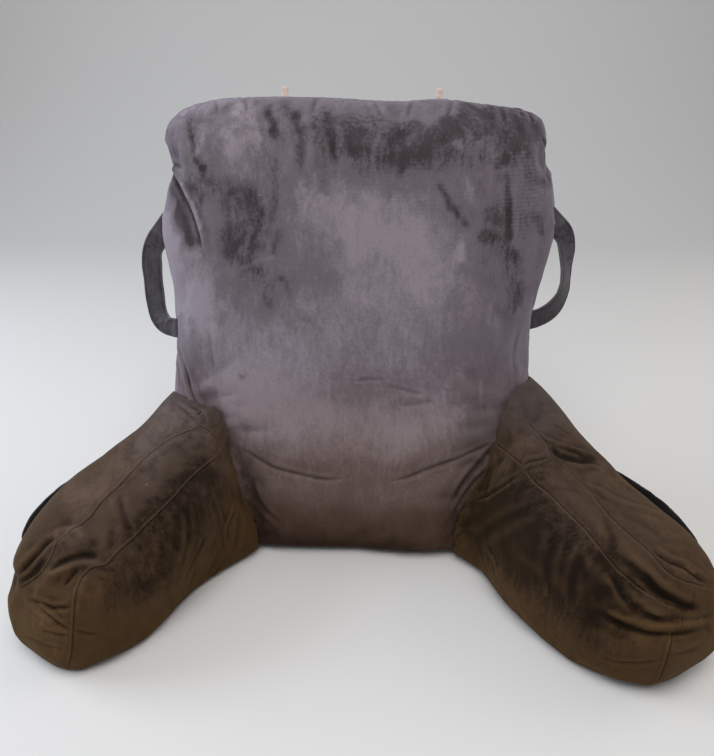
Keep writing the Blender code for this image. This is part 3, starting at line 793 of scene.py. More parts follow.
# The backrest: tall filled cushion whose front panel hangs a little over its side panels
backrestCushion = {
    "name": "backrestCushion",
    "node": "backrest",
    "slot": "plush_backrest",
    "voxel": 0.0062,
    "shrink": 0.0015,
    "pressure": 3.0,
    "bending": 2.5,
    "spareCloth": 0.014,
    "swellCap": 0.004,
    "rumple": (0.060, 0.0009),     # size and height of small lumps of filling
    "seam": (0.0019, 0.0009, 0.0008),     # width, height of its ridge, depth of its groove
    "fill": 0.75,
    "napBase": 0.12,
    "seams": {
        "rightPanelSeam": ((531, 335), (529, 355), (528, 375), (523.5, 391), (521.5, 409), (523.5, 423)),
        "topSeam": ((-0.232, 0.185, 0.596), (-0.19, 0.196, 0.606), (-0.10, 0.199, 0.611),
                    (0.0, 0.199, 0.608), (0.10, 0.198, 0.609), (0.19, 0.196, 0.603), (0.243, 0.185, 0.588)),
        "backSeamLeft": ((-0.236, 0.222, 0.575), (-0.248, 0.236, 0.50), (-0.252, 0.238, 0.38),
                         (-0.246, 0.238, 0.25), (-0.236, 0.236, 0.12), (-0.224, 0.228, 0.03)),
        "backSeamRight": ((0.243, 0.222, 0.565), (0.252, 0.236, 0.50), (0.252, 0.238, 0.38),
                          (0.240, 0.238, 0.25), (0.230, 0.236, 0.12), (0.222, 0.228, 0.03)),
    },
    "joint": (        # held with the seams: where the arms are sewn on
        ((195, 385), (205, 405), (225, 430), (245, 470), (255, 500), (262, 540)),
        ((523, 424), (500, 450), (470, 490), (452, 530)),
    ),
    # name, width, depth and roll in millimetres, sharpness, path, lean of the roll to the left of travel
    "folds": (
        ("belly crease left", 3.4, 2.6, 0.8, 0.8,
         ((241, 447), (259, 459), (275, 468), (298, 474), (323, 479), (346, 478))),
        ("belly crease right", 3.4, 2.3, 0.7, 0.8,
         ((387, 482), (405, 478), (430, 468), (456, 459), (476, 450), (499, 440))),
        ("waist line", 3.2, 1.2, 0.4, 0.5, ((354, 381), (368, 379), (384, 380))),
        ("waist line lower", 3.4, 1.0, 0.4, 0.5, ((384, 386), (405, 390), (427, 397))),
        ("waist dimple", 5, 1.0, 0.4, 0.3, ((398, 405), (415, 403), (436, 401))),
        ("hem swag", 12, 1.2, 0.5, 0.2, ((268, 514), (292, 526), (350, 532), (400, 530), (432, 521))),
        ("side panel edge", 3.4, 4.2, 2.0, 0.6,
         ((164, 150), (168, 163), (175, 179), (184, 197), (192, 215), (198, 234), (203, 256)), 0.7),
        ("corner arc", 7, 1.6, 0.9, 0.3, ((286, 104), (297, 122), (302, 145), (300, 172))),
        ("corner arc small", 5, 1.4, 0.7, 0.4, ((266, 104), (272, 122), (276, 140))),
        ("middle arc", 6, 1.0, 0.6, 0.3, ((325, 118), (332, 140), (334, 170))),
        ("left crown dent", 6, 1.3, 0.8, 0.3, ((197, 138), (199, 156), (205, 174))),
        ("left crown crease", 3.6, 1.6, 0.8, 0.4, ((188, 118), (192, 136), (195, 156))),
        ("left corner tuck", 3.6, 2.4, 1.2, 0.6, ((160, 150), (166, 158), (174, 164), (184, 168))),
        ("left side pucker high", 3.6, 2.6, 1.2, 0.5, ((172, 330), (181, 356), (193, 396), (203, 414))),
        ("left side pucker middle", 3.2, 2.2, 1.0, 0.5, ((180, 346), (186, 368), (191, 394))),
        ("left side pucker low", 3.2, 2.2, 1.0, 0.5, ((175, 352), (179, 372), (180, 392))),
        ("left front streak", 5, 1.1, 0.5, 0.3, ((208, 325), (211, 353), (215, 374))),
        ("right ear loop", 3.4, 3.4, 1.6, 0.6, ((549, 148), (548, 160), (547, 172), (549, 182)), 0.4),
        ("right ear fold", 3.2, 2.2, 1.2, 0.6, ((541, 138), (546, 146), (553, 150)), 0.2),
        ("right corner tuck", 3.2, 2.0, 0.9, 0.5, ((529, 108), (531, 116), (533, 124))),
        ("right corner tuck outer", 3.2, 1.8, 0.8, 0.5, ((514, 103), (519, 109), (523, 117))),
        ("right streak", 5, 1.5, 0.6, 0.4, ((505, 172), (509, 210), (510, 255))),
        ("right middle streak", 5, 1.1, 0.5, 0.3, ((441, 186), (448, 203), (462, 222))),
        ("right joint fold high", 4.4, 2.8, 1.4, 0.5,
         ((523, 427), (499, 442), (480, 462), (462, 484), (450, 506))),
        ("right joint fold low", 3.4, 2.2, 1.0, 0.5, ((500, 462), (478, 478), (462, 498), (450, 520))),
        ("left joint fold", 4.4, 2.2, 1.1, 0.4, ((251, 478), (258, 498), (270, 514), (284, 525))),
        ("right waist drag", 5, 1.2, 0.6, 0.4, ((519, 330), (514, 352), (516, 380))),
        ("top gather one", 3.6, 1.3, 0.7, 0.4, ((215, 97), (217, 106), (216, 114))),
        ("top gather two", 3.6, 1.3, 0.7, 0.4, ((243, 95), (246, 105), (246, 113))),
        ("top gather three", 3.6, 1.2, 0.7, 0.4, ((371, 98), (378, 108), (381, 118))),
        ("top gather four", 3.6, 1.3, 0.7, 0.4, ((414, 99), (409, 110), (407, 120))),
        ("top gather five", 3.6, 1.4, 0.7, 0.4, ((498, 104), (503, 114), (505, 124))),
        ("top gather six", 3.6, 1.2, 0.7, 0.4, ((452, 99), (450, 108), (447, 118))),
        ("top gather seven", 3.6, 1.2, 0.7, 0.4, ((318, 96), (314, 105), (312, 114))),
    ),
    # These strokes paint the pile's own dark and pale patches, and painted light too: side wedge is a painted
    # shadow under the front panel's edge, left joint and right joint painted shade where the arms meet,
    # corner pale and flank pale painted light from the left
    # name, width in photo pixels, tone, path
    "napAndPaintedLight": (
        ("brow", 27, -0.54, ((290, 128), (340, 130), (400, 138), (460, 132), (515, 136))),
        ("brow middle", 22, -0.30, ((330, 150), (390, 158), (450, 160))),
        ("brow stroke one", 5, -0.4, ((270, 106), (274, 125), (276, 138))),
        ("brow stroke two", 5, -0.35, ((286, 106), (297, 124), (302, 145), (301, 170))),
        ("brow stroke three", 4, -0.3, ((334, 127), (334, 175))),
        ("brow stroke four", 9, -0.25, ((397, 131), (405, 155), (402, 170))),
        ("brow stroke five", 15, -0.22, ((424, 157), (441, 138), (452, 124))),
        ("brow stroke six", 15, -0.25, ((461, 120), (480, 123))),
        ("brow blot", 9, -0.25, ((355, 143), (356, 147))),
        ("cheek", 42, -0.62, ((238, 205), (240, 240))),
        ("right shade", 30, -0.33, ((522, 160), (518, 215), (512, 262))),
        ("cheek stroke one", 4.5, -0.4, ((273, 159), (275, 198), (272, 217))),
        ("cheek stroke two", 4.5, -0.35, ((291, 178), (293, 206))),
        ("cheek stroke three", 10, -0.2, ((241, 192), (261, 206))),
        ("cheek stroke four", 4, -0.35, ((252, 249), (258, 225), (261, 210))),
        ("cheek stroke five", 4, -0.35, ((275, 252), (280, 231))),
        ("cheek tail one", 11, -0.32, ((233, 242), (241, 264))),
        ("cheek tail two", 9, -0.45, ((261, 277), (270, 301))),
        ("cheek tail three", 6, -0.6, ((280, 281), (291, 291))),
        ("middle stroke", 4, -0.4, ((322, 178), (326, 192))),
        ("corner stroke one", 5, -0.6, ((188, 120), (192, 138), (195, 159), (201, 167))),
        ("corner stroke two", 6, -0.6, ((169, 136), (174, 152), (183, 161))),
        ("corner stroke three", 6, -0.55, ((194, 187), (202, 200))),
        ("corner stroke four", 5, -0.5, ((202, 170), (206, 181))),
        ("side wedge", 7, -1.4, ((170, 168), (174, 184), (179, 205), (185, 226), (194, 242))),
        ("right stroke one", 5.5, -0.65, ((441, 187), (447, 203), (458, 214), (465, 225))),
        ("right stroke two", 6, -0.5, ((505, 178), (509, 210), (509, 238), (511, 257))),
        ("right stroke three", 7, -0.5, ((484, 214), (501, 217))),
        ("right stroke four", 8, -0.55, ((486, 237), (494, 237))),
        ("right stroke five", 6, -0.5, ((494, 166), (505, 161))),
        ("right stroke six", 5, -0.5, ((540, 220), (543, 231))),
        ("right stroke seven", 6, -0.55, ((520, 287), (515, 309))),
        ("right edge", 14, -0.3, ((548, 165), (552, 230), (540, 300))),
        ("waist shade", 22, -0.18, ((360, 392), (400, 396), (430, 400))),
        ("right hip", 18, -0.22, ((500, 372), (492, 396), (470, 412))),
        ("left mark", 3, -0.5, ((241, 376), (243, 377))),
        ("right joint", 12, -0.6, ((504, 448), (476, 486), (452, 530))),
        ("left joint", 9, -0.7, ((206, 399), (222, 427), (240, 458), (254, 500), (262, 534))),
        ("crown pale", 17, 0.66, ((233, 141), (241, 159), (244, 175))),
        ("crown pale stroke", 5, 0.5, ((201, 134), (198, 148), (202, 164))),
        ("crown pale edge", 8, 0.4, ((252, 113), (258, 134))),
        ("corner pale", 9, 0.45, ((169, 110), (183, 106), (201, 102), (240, 102))),
        ("top pale", 6, 0.3, ((305, 120), (312, 108), (330, 102), (380, 103))),
        ("panel edge", 2.8, 0.9, ((172, 163), (179, 177), (187, 194), (195, 212), (200, 228))),
        ("flank pale", 17, 0.85, ((163, 232), (173, 270), (190, 304))),
        ("flank pale low", 14, 0.45, ((197, 245), (204, 280), (206, 330))),
        ("middle pale", 26, 0.38, ((308, 195), (350, 231), (357, 287))),
        ("middle pale right", 36, 0.54, ((375, 222), (411, 240), (424, 273))),
        ("middle pale low", 46, 0.36, ((240, 350), (320, 335), (400, 330))),
        ("belly pale", 40, 0.66, ((235, 405), (300, 415), (380, 425), (430, 420))),
        ("middle pale stroke", 3.4, 0.3, ((350, 207), (351, 266))),
        ("right pale stroke", 9, 0.35, ((466, 181), (473, 200))),
        ("right pale", 11, 0.35, ((522, 245), (536, 273))),
        ("top pale right", 6, 0.3, ((369, 109), (401, 114), (430, 120))),
        ("top dark", 12, -0.18, ((270, 112), (340, 116), (420, 122))),
        ("top dark right", 15, -0.46, ((465, 112), (515, 114), (540, 132))),
        ("scratch", 2.0, 0.4, ((241, 268), (257, 262), (273, 257))),
        ("stain", 3.4, 1.3, ((461, 247), (461, 258))),
        ("pale fleck", 3.4, 1.0, ((458, 144), (460, 146))),
        ("lint one", 2.2, 1.4, ((235, 113), (237, 114))),
        ("lint two", 2.2, 1.2, ((239, 106), (241, 107))),
    ),
    "ruffle": (
        ("crown", 34, 0.44, ((190, 120), (300, 125), (420, 125), (520, 135))),
        ("brow", 26, 0.26, ((290, 160), (380, 165), (480, 160))),
        ("cheek", 42, 0.36, ((232, 190), (240, 240), (256, 285))),
        ("corner", 22, 0.5, ((180, 140), (192, 170))),
        ("right edge", 26, 0.48, ((500, 180), (508, 240), (505, 300))),
        ("right hip", 26, 0.35, ((490, 380), (470, 410))),
    ),
    "ribbed": (
        ("right crown", 24, 1.0, ((525, 160), (526, 215))),
        ("middle", 60, 0.35, ((400, 180), (420, 230))),
    ),
}
backrest = makeCushion(backrestCushion)
print("backrest shaped")


# The left arm: two seams run along its top and down its front, the end sags in folds
leftArmCushion = {
    "name": "leftArmCushion",
    "node": "arm_left",
    "slot": "plush_arm",
    "voxel": 0.0050,
    "shrink": 0.0015,
    "pressure": 3.0,
    "bending": 2.5,
    "spareCloth": 0.012,
    "swellCap": 0.0035,
    "rumple": (0.040, 0.0009),
    "seam": (0.0017, 0.0008, 0.0008),
    "fill": 0.7,
    "napBase": -0.12,
    "seams": {
        "outerSeam": ((198, 426), (184, 431.6), (166, 440.5), (148, 454), (130, 472), (119, 484),
                      (105, 497), (95, 509), (83, 522), (68, 532), (57, 541), (49, 560), (40, 573),
                      (29.5, 581), (20.5, 586)),
        "innerSeam": ((220, 454), (205, 464.6), (189, 479), (173, 497), (157, 513), (144, 525.4),
                      (132, 538), (119, 549), (110, 559), (105, 564), (95, 565), (86, 571), (79, 580),
                      (75, 591), (73, 601), (72, 616), (71, 633), (69.6, 654), (66, 668)),
        "gussetSeam": ((198, 427), (207, 431), (214, 438), (221, 450), (228, 457.5), (235, 468),
                       (242.5, 475), (250, 482)),
    },
    "joint": (),
    "folds": (
        ("under the hump", 4.6, 4.4, 3.0, 0.5,
         ((105, 559), (92, 556), (80, 556), (68, 560), (56, 566), (46, 573)), 0.7),
        ("outer hollow", 4.6, 4.8, 2.4, 0.5, ((15, 577), (26, 566), (38, 553), (48, 542), (58, 535)), -0.3),
        ("hump lip", 4.6, -1.6, -0.8, 0.3, ((46, 545), (57, 533), (68, 529), (80, 531), (88, 537))),
        ("pinch upper", 3.2, 3.4, 1.8, 0.6,
         ((28, 599), (36, 602), (45, 604), (52, 608), (63, 608), (73, 607)), 0.2),
        ("pinch lower", 3.2, 3.0, 1.6, 0.6, ((33, 603), (42, 609), (50, 616), (60, 625), (70, 630))),
        ("pinch between", 3.0, 2.0, 1.1, 0.6, ((42, 604), (57, 612), (64, 619))),
        ("front crease", 3.2, 1.6, 0.9, 0.5, ((41, 630), (54, 634), (69, 636))),
        ("front crease inner", 3.2, 1.7, 0.9, 0.5, ((74, 630), (85, 633.5), (98, 634.5))),
        ("front low crease", 3.2, 1.3, 0.7, 0.4, ((25, 635), (37, 642), (50, 647), (67, 649))),
        ("seam tuck", 3.2, 3.2, 1.5, 0.6, ((79, 568), (72, 576), (64, 586))),
        ("tuck inner", 3.2, 1.6, 0.9, 0.5, ((95, 568), (105, 570), (117, 573))),
        ("inner pucker one", 6.0, 1.6, 0.9, 0.3, ((138, 540), (139, 562), (135, 586))),
        ("inner pucker two", 5.0, 1.4, 0.8, 0.3, ((147, 532), (148, 556), (144, 580))),
        ("inner pucker three", 6.0, 1.3, 0.8, 0.3, ((176, 506), (177, 530), (174, 558))),
        ("inner pucker four", 5.0, 1.4, 0.8, 0.3, ((186, 502), (188, 538), (180, 570))),
        ("inner drag", 5.5, 1.8, 1.0, 0.3, ((207, 534), (201, 547), (191, 566), (184, 583))),
        ("joint ridge long", 3.2, -2.4, -0.9, 0.4,
         ((233.6, 502), (231, 513), (226.5, 524), (224.6, 534), (226.4, 547), (230, 554))),
        ("joint ridge short", 3.2, -1.7, -0.7, 0.4, ((216, 507), (221, 518), (225, 527))),
        ("joint crease low", 3.2, 2.0, 1.0, 0.5, ((227, 555), (222, 566), (216, 572), (208, 580))),
        ("joint hollow", 6.0, 2.2, 0.8, 0.3, ((240, 512), (238, 535), (232, 556))),
        ("shoulder crease", 3.2, 1.8, 1.0, 0.5, ((176, 404), (186, 411), (197, 421))),
        ("shoulder crease two", 3.2, 1.6, 0.9, 0.5, ((190, 405), (202, 413), (207, 424))),
        ("crest streak", 4.6, 2.2, 1.1, 0.4, ((119, 492), (121, 506), (127, 524), (133, 538))),
        ("hump side dent", 5.0, 1.8, 1.0, 0.3, ((110, 527), (112, 541), (107, 554))),
        ("outer soft dent", 9.0, 1.3, 0.8, 0.2, ((70, 498), (88, 512), (100, 528))),
    ),
    # Besides the pile's own tone these strokes paint light: outer slope is painted light, hump edge and lip
    # painted highlights on fold lips, inner panel, hollow and hump painted shade
    "napAndPaintedLight": (
        ("outer slope", 26, 0.60, ((160, 430), (120, 465), (80, 500))),
        ("root", 20, 0.45, ((180, 415), (215, 430), (232, 458))),
        ("hump edge", 5, 0.5, ((46, 545), (57, 534), (68, 530), (82, 531))),
        ("lip", 4, 0.5, ((50, 573), (62, 569), (76, 564), (96, 564))),
        ("inner panel", 30, -0.56, ((210, 490), (170, 540), (140, 580))),
        ("hollow", 7, -0.9, ((20, 577), (31, 574), (38, 563))),
        ("hump", 13, -0.55, ((60, 553), (84, 548))),
        ("seam side", 12, -0.35, ((200, 462), (160, 500), (128, 528))),
        ("front", 22, 0.62, ((40, 625), (56, 645))),
        ("front inner", 16, 0.02, ((100, 640), (130, 628))),
        ("foot", 13, 0.30, ((150, 622), (190, 592), (230, 560))),
        ("tuck pale", 4, 0.4, ((84, 580), (79, 598), (77, 612))),
    ),
    "ruffle": (
        ("root", 24, 0.3, ((185, 420), (215, 440))),
        ("inner", 30, 0.2, ((190, 520), (150, 560))),
    ),
    "ribbed": (),
}
leftArm = makeCushion(leftArmCushion)
print("left arm shaped")


# The right arm: the top sags over the front in one deep crease
rightArmCushion = {
    **leftArmCushion,
    "name": "rightArmCushion",
    "node": "arm_right",
    "seams": {
        "innerSeam": ((525.4, 471.4), (535.4, 484.5), (547.5, 493.5), (559.5, 505.6), (571.6, 517.6),
                      (583.7, 529.7), (595.7, 543.7), (607.8, 559.8), (619.8, 573.9), (634, 586),
                      (648, 596), (662, 605), (674, 608)),
        "frontSeam": ((682, 613), (676, 626), (670, 640), (666, 654), (662, 667), (656, 681)),
        "outerSeam": ((555.5, 457.4), (563.6, 463.4), (575.6, 479.5), (587.7, 489.5), (599.7, 505.6),
                      (611.8, 519.6), (623.8, 531.7), (636, 541.7), (648, 551.8), (658, 563.8),
                      (668, 574), (682, 582), (696, 586), (709, 590)),
        "gussetSeam": ((527.4, 424), (535.4, 433), (545.5, 443), (549.5, 455.4)),
        "gussetSeamLow": ((495.3, 445), (511, 457), (521.4, 465.4)),
    },
    "folds": (
        ("front overhang", 4.8, 5.6, 3.4, 0.6,
         ((600, 611), (612, 619), (626, 626), (642, 631), (658, 634), (676, 634), (696, 631),
          (710, 627)), 0.9),
        ("inner seam dip", 6.0, 4.2, 2.2, 0.3, ((610, 568), (622, 592), (634, 606), (648, 616), (666, 621))),
        ("end valley", 5.4, 5.6, 3.0, 0.4,
         ((616, 552), (634, 568), (648, 580), (658, 592), (672, 600), (688, 607), (704, 609))),
        ("outer end fold", 4.2, 3.4, 2.0, 0.5,
         ((650, 545), (660, 555), (672, 563), (684, 567), (697, 577), (711, 585)), 0.3),
        ("crest hollow", 7.0, 2.4, 1.2, 0.2, ((604, 514), (611, 532), (618, 552))),
        ("root ridge", 3.6, -3.0, -1.0, 0.4, ((533, 431), (547.5, 439), (566, 446), (584, 452), (600, 458))),
        ("root hollow", 5.4, 4.2, 1.2, 0.3, ((550, 446), (560, 456), (580, 461), (597, 460))),
        ("outer fold high", 4.0, -2.0, -0.8, 0.3,
         ((582, 464), (596, 467), (610, 475), (626, 485), (640, 494))),
        ("outer fold middle", 4.4, -1.8, -0.8, 0.3,
         ((580, 482), (597, 488), (612, 497), (628, 504), (648, 510), (666, 516))),
        ("outer dent", 8.0, 1.6, 0.8, 0.2, ((612, 508), (640, 522), (668, 540))),
        ("front crease high", 3.2, 1.3, 0.7, 0.4, ((670, 642), (688, 640), (704, 634))),
        ("front crease middle", 3.2, 1.5, 0.8, 0.5, ((600, 656), (616, 662), (640, 663), (663, 659))),
        ("front crease outer", 3.2, 1.3, 0.7, 0.5, ((667, 655), (684, 653), (700, 648))),
        ("joint crease", 3.6, 3.0, 1.4, 0.5,
         ((475, 497.5), (487, 495.5), (503, 485.5), (515, 477), (523, 471.5))),
        ("gusset fold", 3.2, 2.6, 1.4, 0.6, ((549, 456), (540, 459), (530, 461), (521, 465))),
        ("inner drag long", 8.0, 2.0, 1.0, 0.2, ((537.5, 505.6), (515.4, 515.6), (495, 527.7), (475, 541.7))),
        ("inner drag", 7.0, 1.7, 0.9, 0.2, ((560, 530), (548, 560), (550, 592))),
        ("inner drag two", 6.0, 1.4, 0.8, 0.2, ((586, 545), (574, 575), (572, 605))),
        ("root wrinkle", 3.2, 1.6, 0.8, 0.5, ((548, 424), (560, 428), (572, 436))),
        ("root wrinkle low", 3.2, 1.6, 0.8, 0.5, ((452, 545), (458, 536), (466, 530))),
        ("joint ridge", 4.0, -1.8, -0.7, 0.3, ((486, 548), (494, 560), (498, 578))),
    ),
    # Besides the pile's own tone these strokes paint light: outer slope and crest are painted light, lip a
    # painted highlight, inner panel, end valley and root hollow painted shade
    "napAndPaintedLight": (
        ("outer slope", 15, 0.45, ((590, 462), (630, 494), (672, 530))),
        ("root patch", 12, 0.35, ((510, 440), (535, 450))),
        ("crest", 10, 0.30, ((560, 478), (600, 522), (640, 562))),
        ("inner panel", 42, -0.92, ((510, 520), (560, 570), (600, 596))),
        ("inner panel root", 20, -0.3, ((480, 520), (500, 550))),
        ("end valley", 7, -0.7, ((645, 578), (662, 594), (690, 606))),
        ("root hollow", 7, -0.8, ((556, 450), (592, 459))),
        ("outer root", 14, 0.35, ((545, 405), (575, 432))),
        ("lip", 5, 0.5, ((612, 612), (640, 624), (680, 626), (704, 620))),
        ("front", 16, 0.0, ((620, 650), (670, 660))),
        ("mark", 2.4, 1.4, ((687, 568), (693, 572))),
    ),
    "ruffle": (
        ("root", 22, 0.3, ((520, 450), (560, 470))),
        ("inner", 34, 0.2, ((520, 540), (580, 590))),
    ),
}
rightArm = makeCushion(rightArmCushion)
print("right arm shaped")

for arm, cushion in ((leftArm, leftArmCushion), (rightArm, rightArmCushion)):
    keepClear(arm, backrest, clearOfNeighbour, 0.01)
    finishCushion(arm, cushion, armPlush)
finishCushion(backrest, backrestCushion, backrestPlush)


# Straps and tapes: closed tubes through rings of points
def tubeMesh(name, rings):
    mesh = bpy.data.meshes.new(name)
    shape = bmesh.new()
    made = [[shape.verts.new(p) for p in ring] for ring in rings]
    for low, high in zip(made, made[1:]):
        for k in range(len(low)):
            after = (k + 1) % len(low)
            shape.faces.new((low[k], low[after], high[after], high[k]))
    shape.faces.new(made[0])
    shape.faces.new(made[-1])
    bmesh.ops.recalc_face_normals(shape, faces=shape.faces)
    shape.to_mesh(mesh)
    shape.free()
    mesh.shade_smooth()
    return mesh


def roundedSection(angle, width, thickness, bulge):
    # a point of a flat section with rounded edges; bulge holds its two powers, 1 for a circle
    c, s = math.cos(angle), math.sin(angle)
    wide = math.copysign(abs(c) ** bulge[0], c) * width / 2
    return wide, math.copysign(abs(s) ** bulge[1], s) * thickness / 2


# Strap handles: a folded plush strap, stitched along both edges and sewn into the side seams
strapHandle = {
    "width": 0.028,
    "thickness": 0.0042,
    "flatLength": 0.19,
    "stationStep": 0.0015,
    "roundSteps": 40,
    "bulge": (0.45, 0.5),
    "sunk": 0.002,            # the strap starts where it stands this far out of the backrest
    "puff": 0.38,             # how unevenly the folded cloth inside fills the strap
    "sag": 0.0022,
    "wave": (0.03, 0.05),     # unevenness of the edges: regular, loose
    "stitchInset": 0.0034,
    "stitchPinch": 0.40,      # how far the stitching pinches the strap
    "stitchPinchWidth": 0.0011,
    "stitchFreeEnd": 5,
    "stitchOut": 0.004,
    "endReach": 0.03,
    "foldUnder": 0.0016,      # how far behind its own face a fold still moves the cloth
    "paleEdgeRim": (0.84, 0.99),
    "paleEdges": 1.3,            # the strap is paler along its edges
    "napBase": -0.35,
    "ruffle": 0.6,
    "shift": (-0.0009, 0.0202, 0.0),      # from the sewing frame to the model's
    "left": (
        # x, y, z, turn in degrees
        (-0.244, 0.150, 0.462, 8), (-0.257, 0.150, 0.453, 8), (-0.268, 0.146, 0.441, 6),
        (-0.279, 0.142, 0.427, 2), (-0.287, 0.138, 0.411, 0), (-0.289, 0.135, 0.393, -2),
        (-0.289, 0.132, 0.373, -4), (-0.289, 0.130, 0.353, -6), (-0.288, 0.127, 0.334, -6),
        (-0.284, 0.122, 0.319, -2), (-0.274, 0.114, 0.310, 4), (-0.260, 0.105, 0.309, 12),
        (-0.244, 0.098, 0.311, 14),
    ),
    "right": (
        (0.241, 0.142, 0.473, -6), (0.258, 0.140, 0.462, -6), (0.275, 0.140, 0.448, -4),
        (0.288, 0.138, 0.433, 4), (0.293, 0.136, 0.416, 18), (0.295, 0.135, 0.398, 34),
        (0.296, 0.134, 0.379, 46), (0.296, 0.133, 0.360, 48), (0.292, 0.132, 0.344, 38),
        (0.283, 0.130, 0.329, 20), (0.271, 0.129, 0.319, 6), (0.257, 0.128, 0.313, -2),
        (0.240, 0.130, 0.309, -6),
    ),
    # name, width, depth and roll in millimetres, sharpness, path
    "leftFolds": (
        ("overlap", 1.4, 2.0, 0.8, 0.7, ((145, 247.5), (154, 245.5), (163, 243))),
        ("lower wrinkle", 1.6, 1.7, 0.7, 0.5, ((158, 326), (171, 321.5), (184, 326))),
        ("lower wrinkle outer", 1.4, 1.0, 0.5, 0.5, ((152, 316), (158, 321), (166, 324))),
        ("middle drag", 2.2, 1.2, 0.5, 0.4, ((153, 256), (155, 284), (158, 310))),
    ),
    "rightFolds": (
        ("overlap", 1.4, 2.0, 0.8, 0.7, ((553, 235.5), (566, 241), (577, 244))),
        ("lengthwise crease", 1.5, 1.6, 0.6, 0.5, ((562.6, 240), (566.3, 255.5), (570.5, 267))),
        ("lower crease", 1.4, 1.1, 0.5, 0.5, ((559.8, 300), (552.4, 309), (545, 316))),
    ),
}


def strapMesh(name, stations, tree):
    # Returns the strap and the four lines, two on each face, that its edge stitching follows
    places = smoothLine([(x, y, z) for x, y, z, _ in stations], strapHandle["stationStep"])
    along = np.linspace(0, len(stations) - 1, len(places))
    turns = np.interp(along, range(len(stations)), [math.radians(s[3]) for s in stations])
    shift = Vector(strapHandle["shift"])
    places = [p + shift for p in places]
    outside = []
    for p in places:
        hit, up, _, _ = tree.find_nearest(p)
        outside.append((p - hit).dot(up) > strapHandle["sunk"])
    first, last = outside.index(True), len(outside) - 1 - outside[::-1].index(True)
    rings, stitchLines = [], [[], [], [], []]
    steps, half = strapHandle["roundSteps"], strapHandle["width"] / 2
    toStitch = half - strapHandle["stitchInset"]
    regular, loose = strapHandle["wave"]
    for i in range(first, last + 1):
        run = (places[min(i + 1, len(places) - 1)] - places[max(i - 1, 0)]).normalized()
        across = run.cross(Vector((0, -1, 0))).normalized()
        face = across.cross(run).normalized()
        wide = across * math.cos(turns[i]) + face * math.sin(turns[i])
        thick = face * math.cos(turns[i]) - across * math.sin(turns[i])
        if first + strapHandle["stitchFreeEnd"] < i < last - strapHandle["stitchFreeEnd"]:
            for n, (w, t) in enumerate(((-1, -1), (-1, 1), (1, -1), (1, 1))):
                out = thick * t * strapHandle["stitchOut"]
                stitchLines[n].append(places[i] + wide * w * toStitch + out)
        ring = []
        for k in range(steps):
            angle = 2 * math.pi * k / steps
            w, t = roundedSection(angle, strapHandle["width"], strapHandle["thickness"], strapHandle["bulge"])
            puff = 1 + strapHandle["puff"] * noise.noise(Vector((i * 0.075, w * 160, 3.3)))
            sag = strapHandle["sag"] * noise.noise(Vector((i * 0.03, 7.1, 0.4)))
            fromStitch = (abs(w) - toStitch) / strapHandle["stitchPinchWidth"]
            pinch = 1 - strapHandle["stitchPinch"] * math.exp(-fromStitch ** 2)
            hand = math.copysign(2, math.cos(angle))
            wave = 1 + regular * math.sin(i * 0.24) + loose * noise.noise(Vector((i * 0.05, hand, 1)))
            lift = t * puff * pinch + sag * (1 - (w / half) ** 2)
            ring.append(places[i] + wide * w * wave + thick * lift)
        rings.append(ring)
    for ring, centre, inner in (
        (rings[0], places[first], places[max(first - 3, 0)]),
        (rings[-1], places[last], places[min(last + 3, len(places) - 1)]),
    ):
        ahead = (inner - centre).normalized()
        for k, p in enumerate(ring):
            hit, up, _, _ = tree.ray_cast(p - ahead * 0.002, ahead, strapHandle["endReach"])
            if hit is not None:
                ring[k] = hit + up * clearOfNeighbour
    return tubeMesh(name, rings), stitchLines


# Stitches, laid along guide lines by Geometry Nodes
threadStitch = {
    "pitch": 0.0031,
    "length": 0.0023,
    "thickness": 0.00055,
    "unevenness": 0.12,
    "seed": 7,
}


def threadMaterial():
    material, tree, shader = nodeTree("sewingThread")
    place = objectPlace(tree)
    twist = addNoise(tree, place, 1800, 2, 0.6)
    tree.links.new(addRamp(tree, twist, ((0.3, (0.035, 0.030, 0.032)), (0.7, (0.085, 0.075, 0.078)))),
                   shader.inputs["Base Color"])
    tree.links.new(addBump(tree, twist, 0.5, 0.0002), shader.inputs["Normal"])
    shader.inputs["Roughness"].default_value = 0.6
    shader.inputs["Specular IOR Level"].default_value = 0.3
    return material


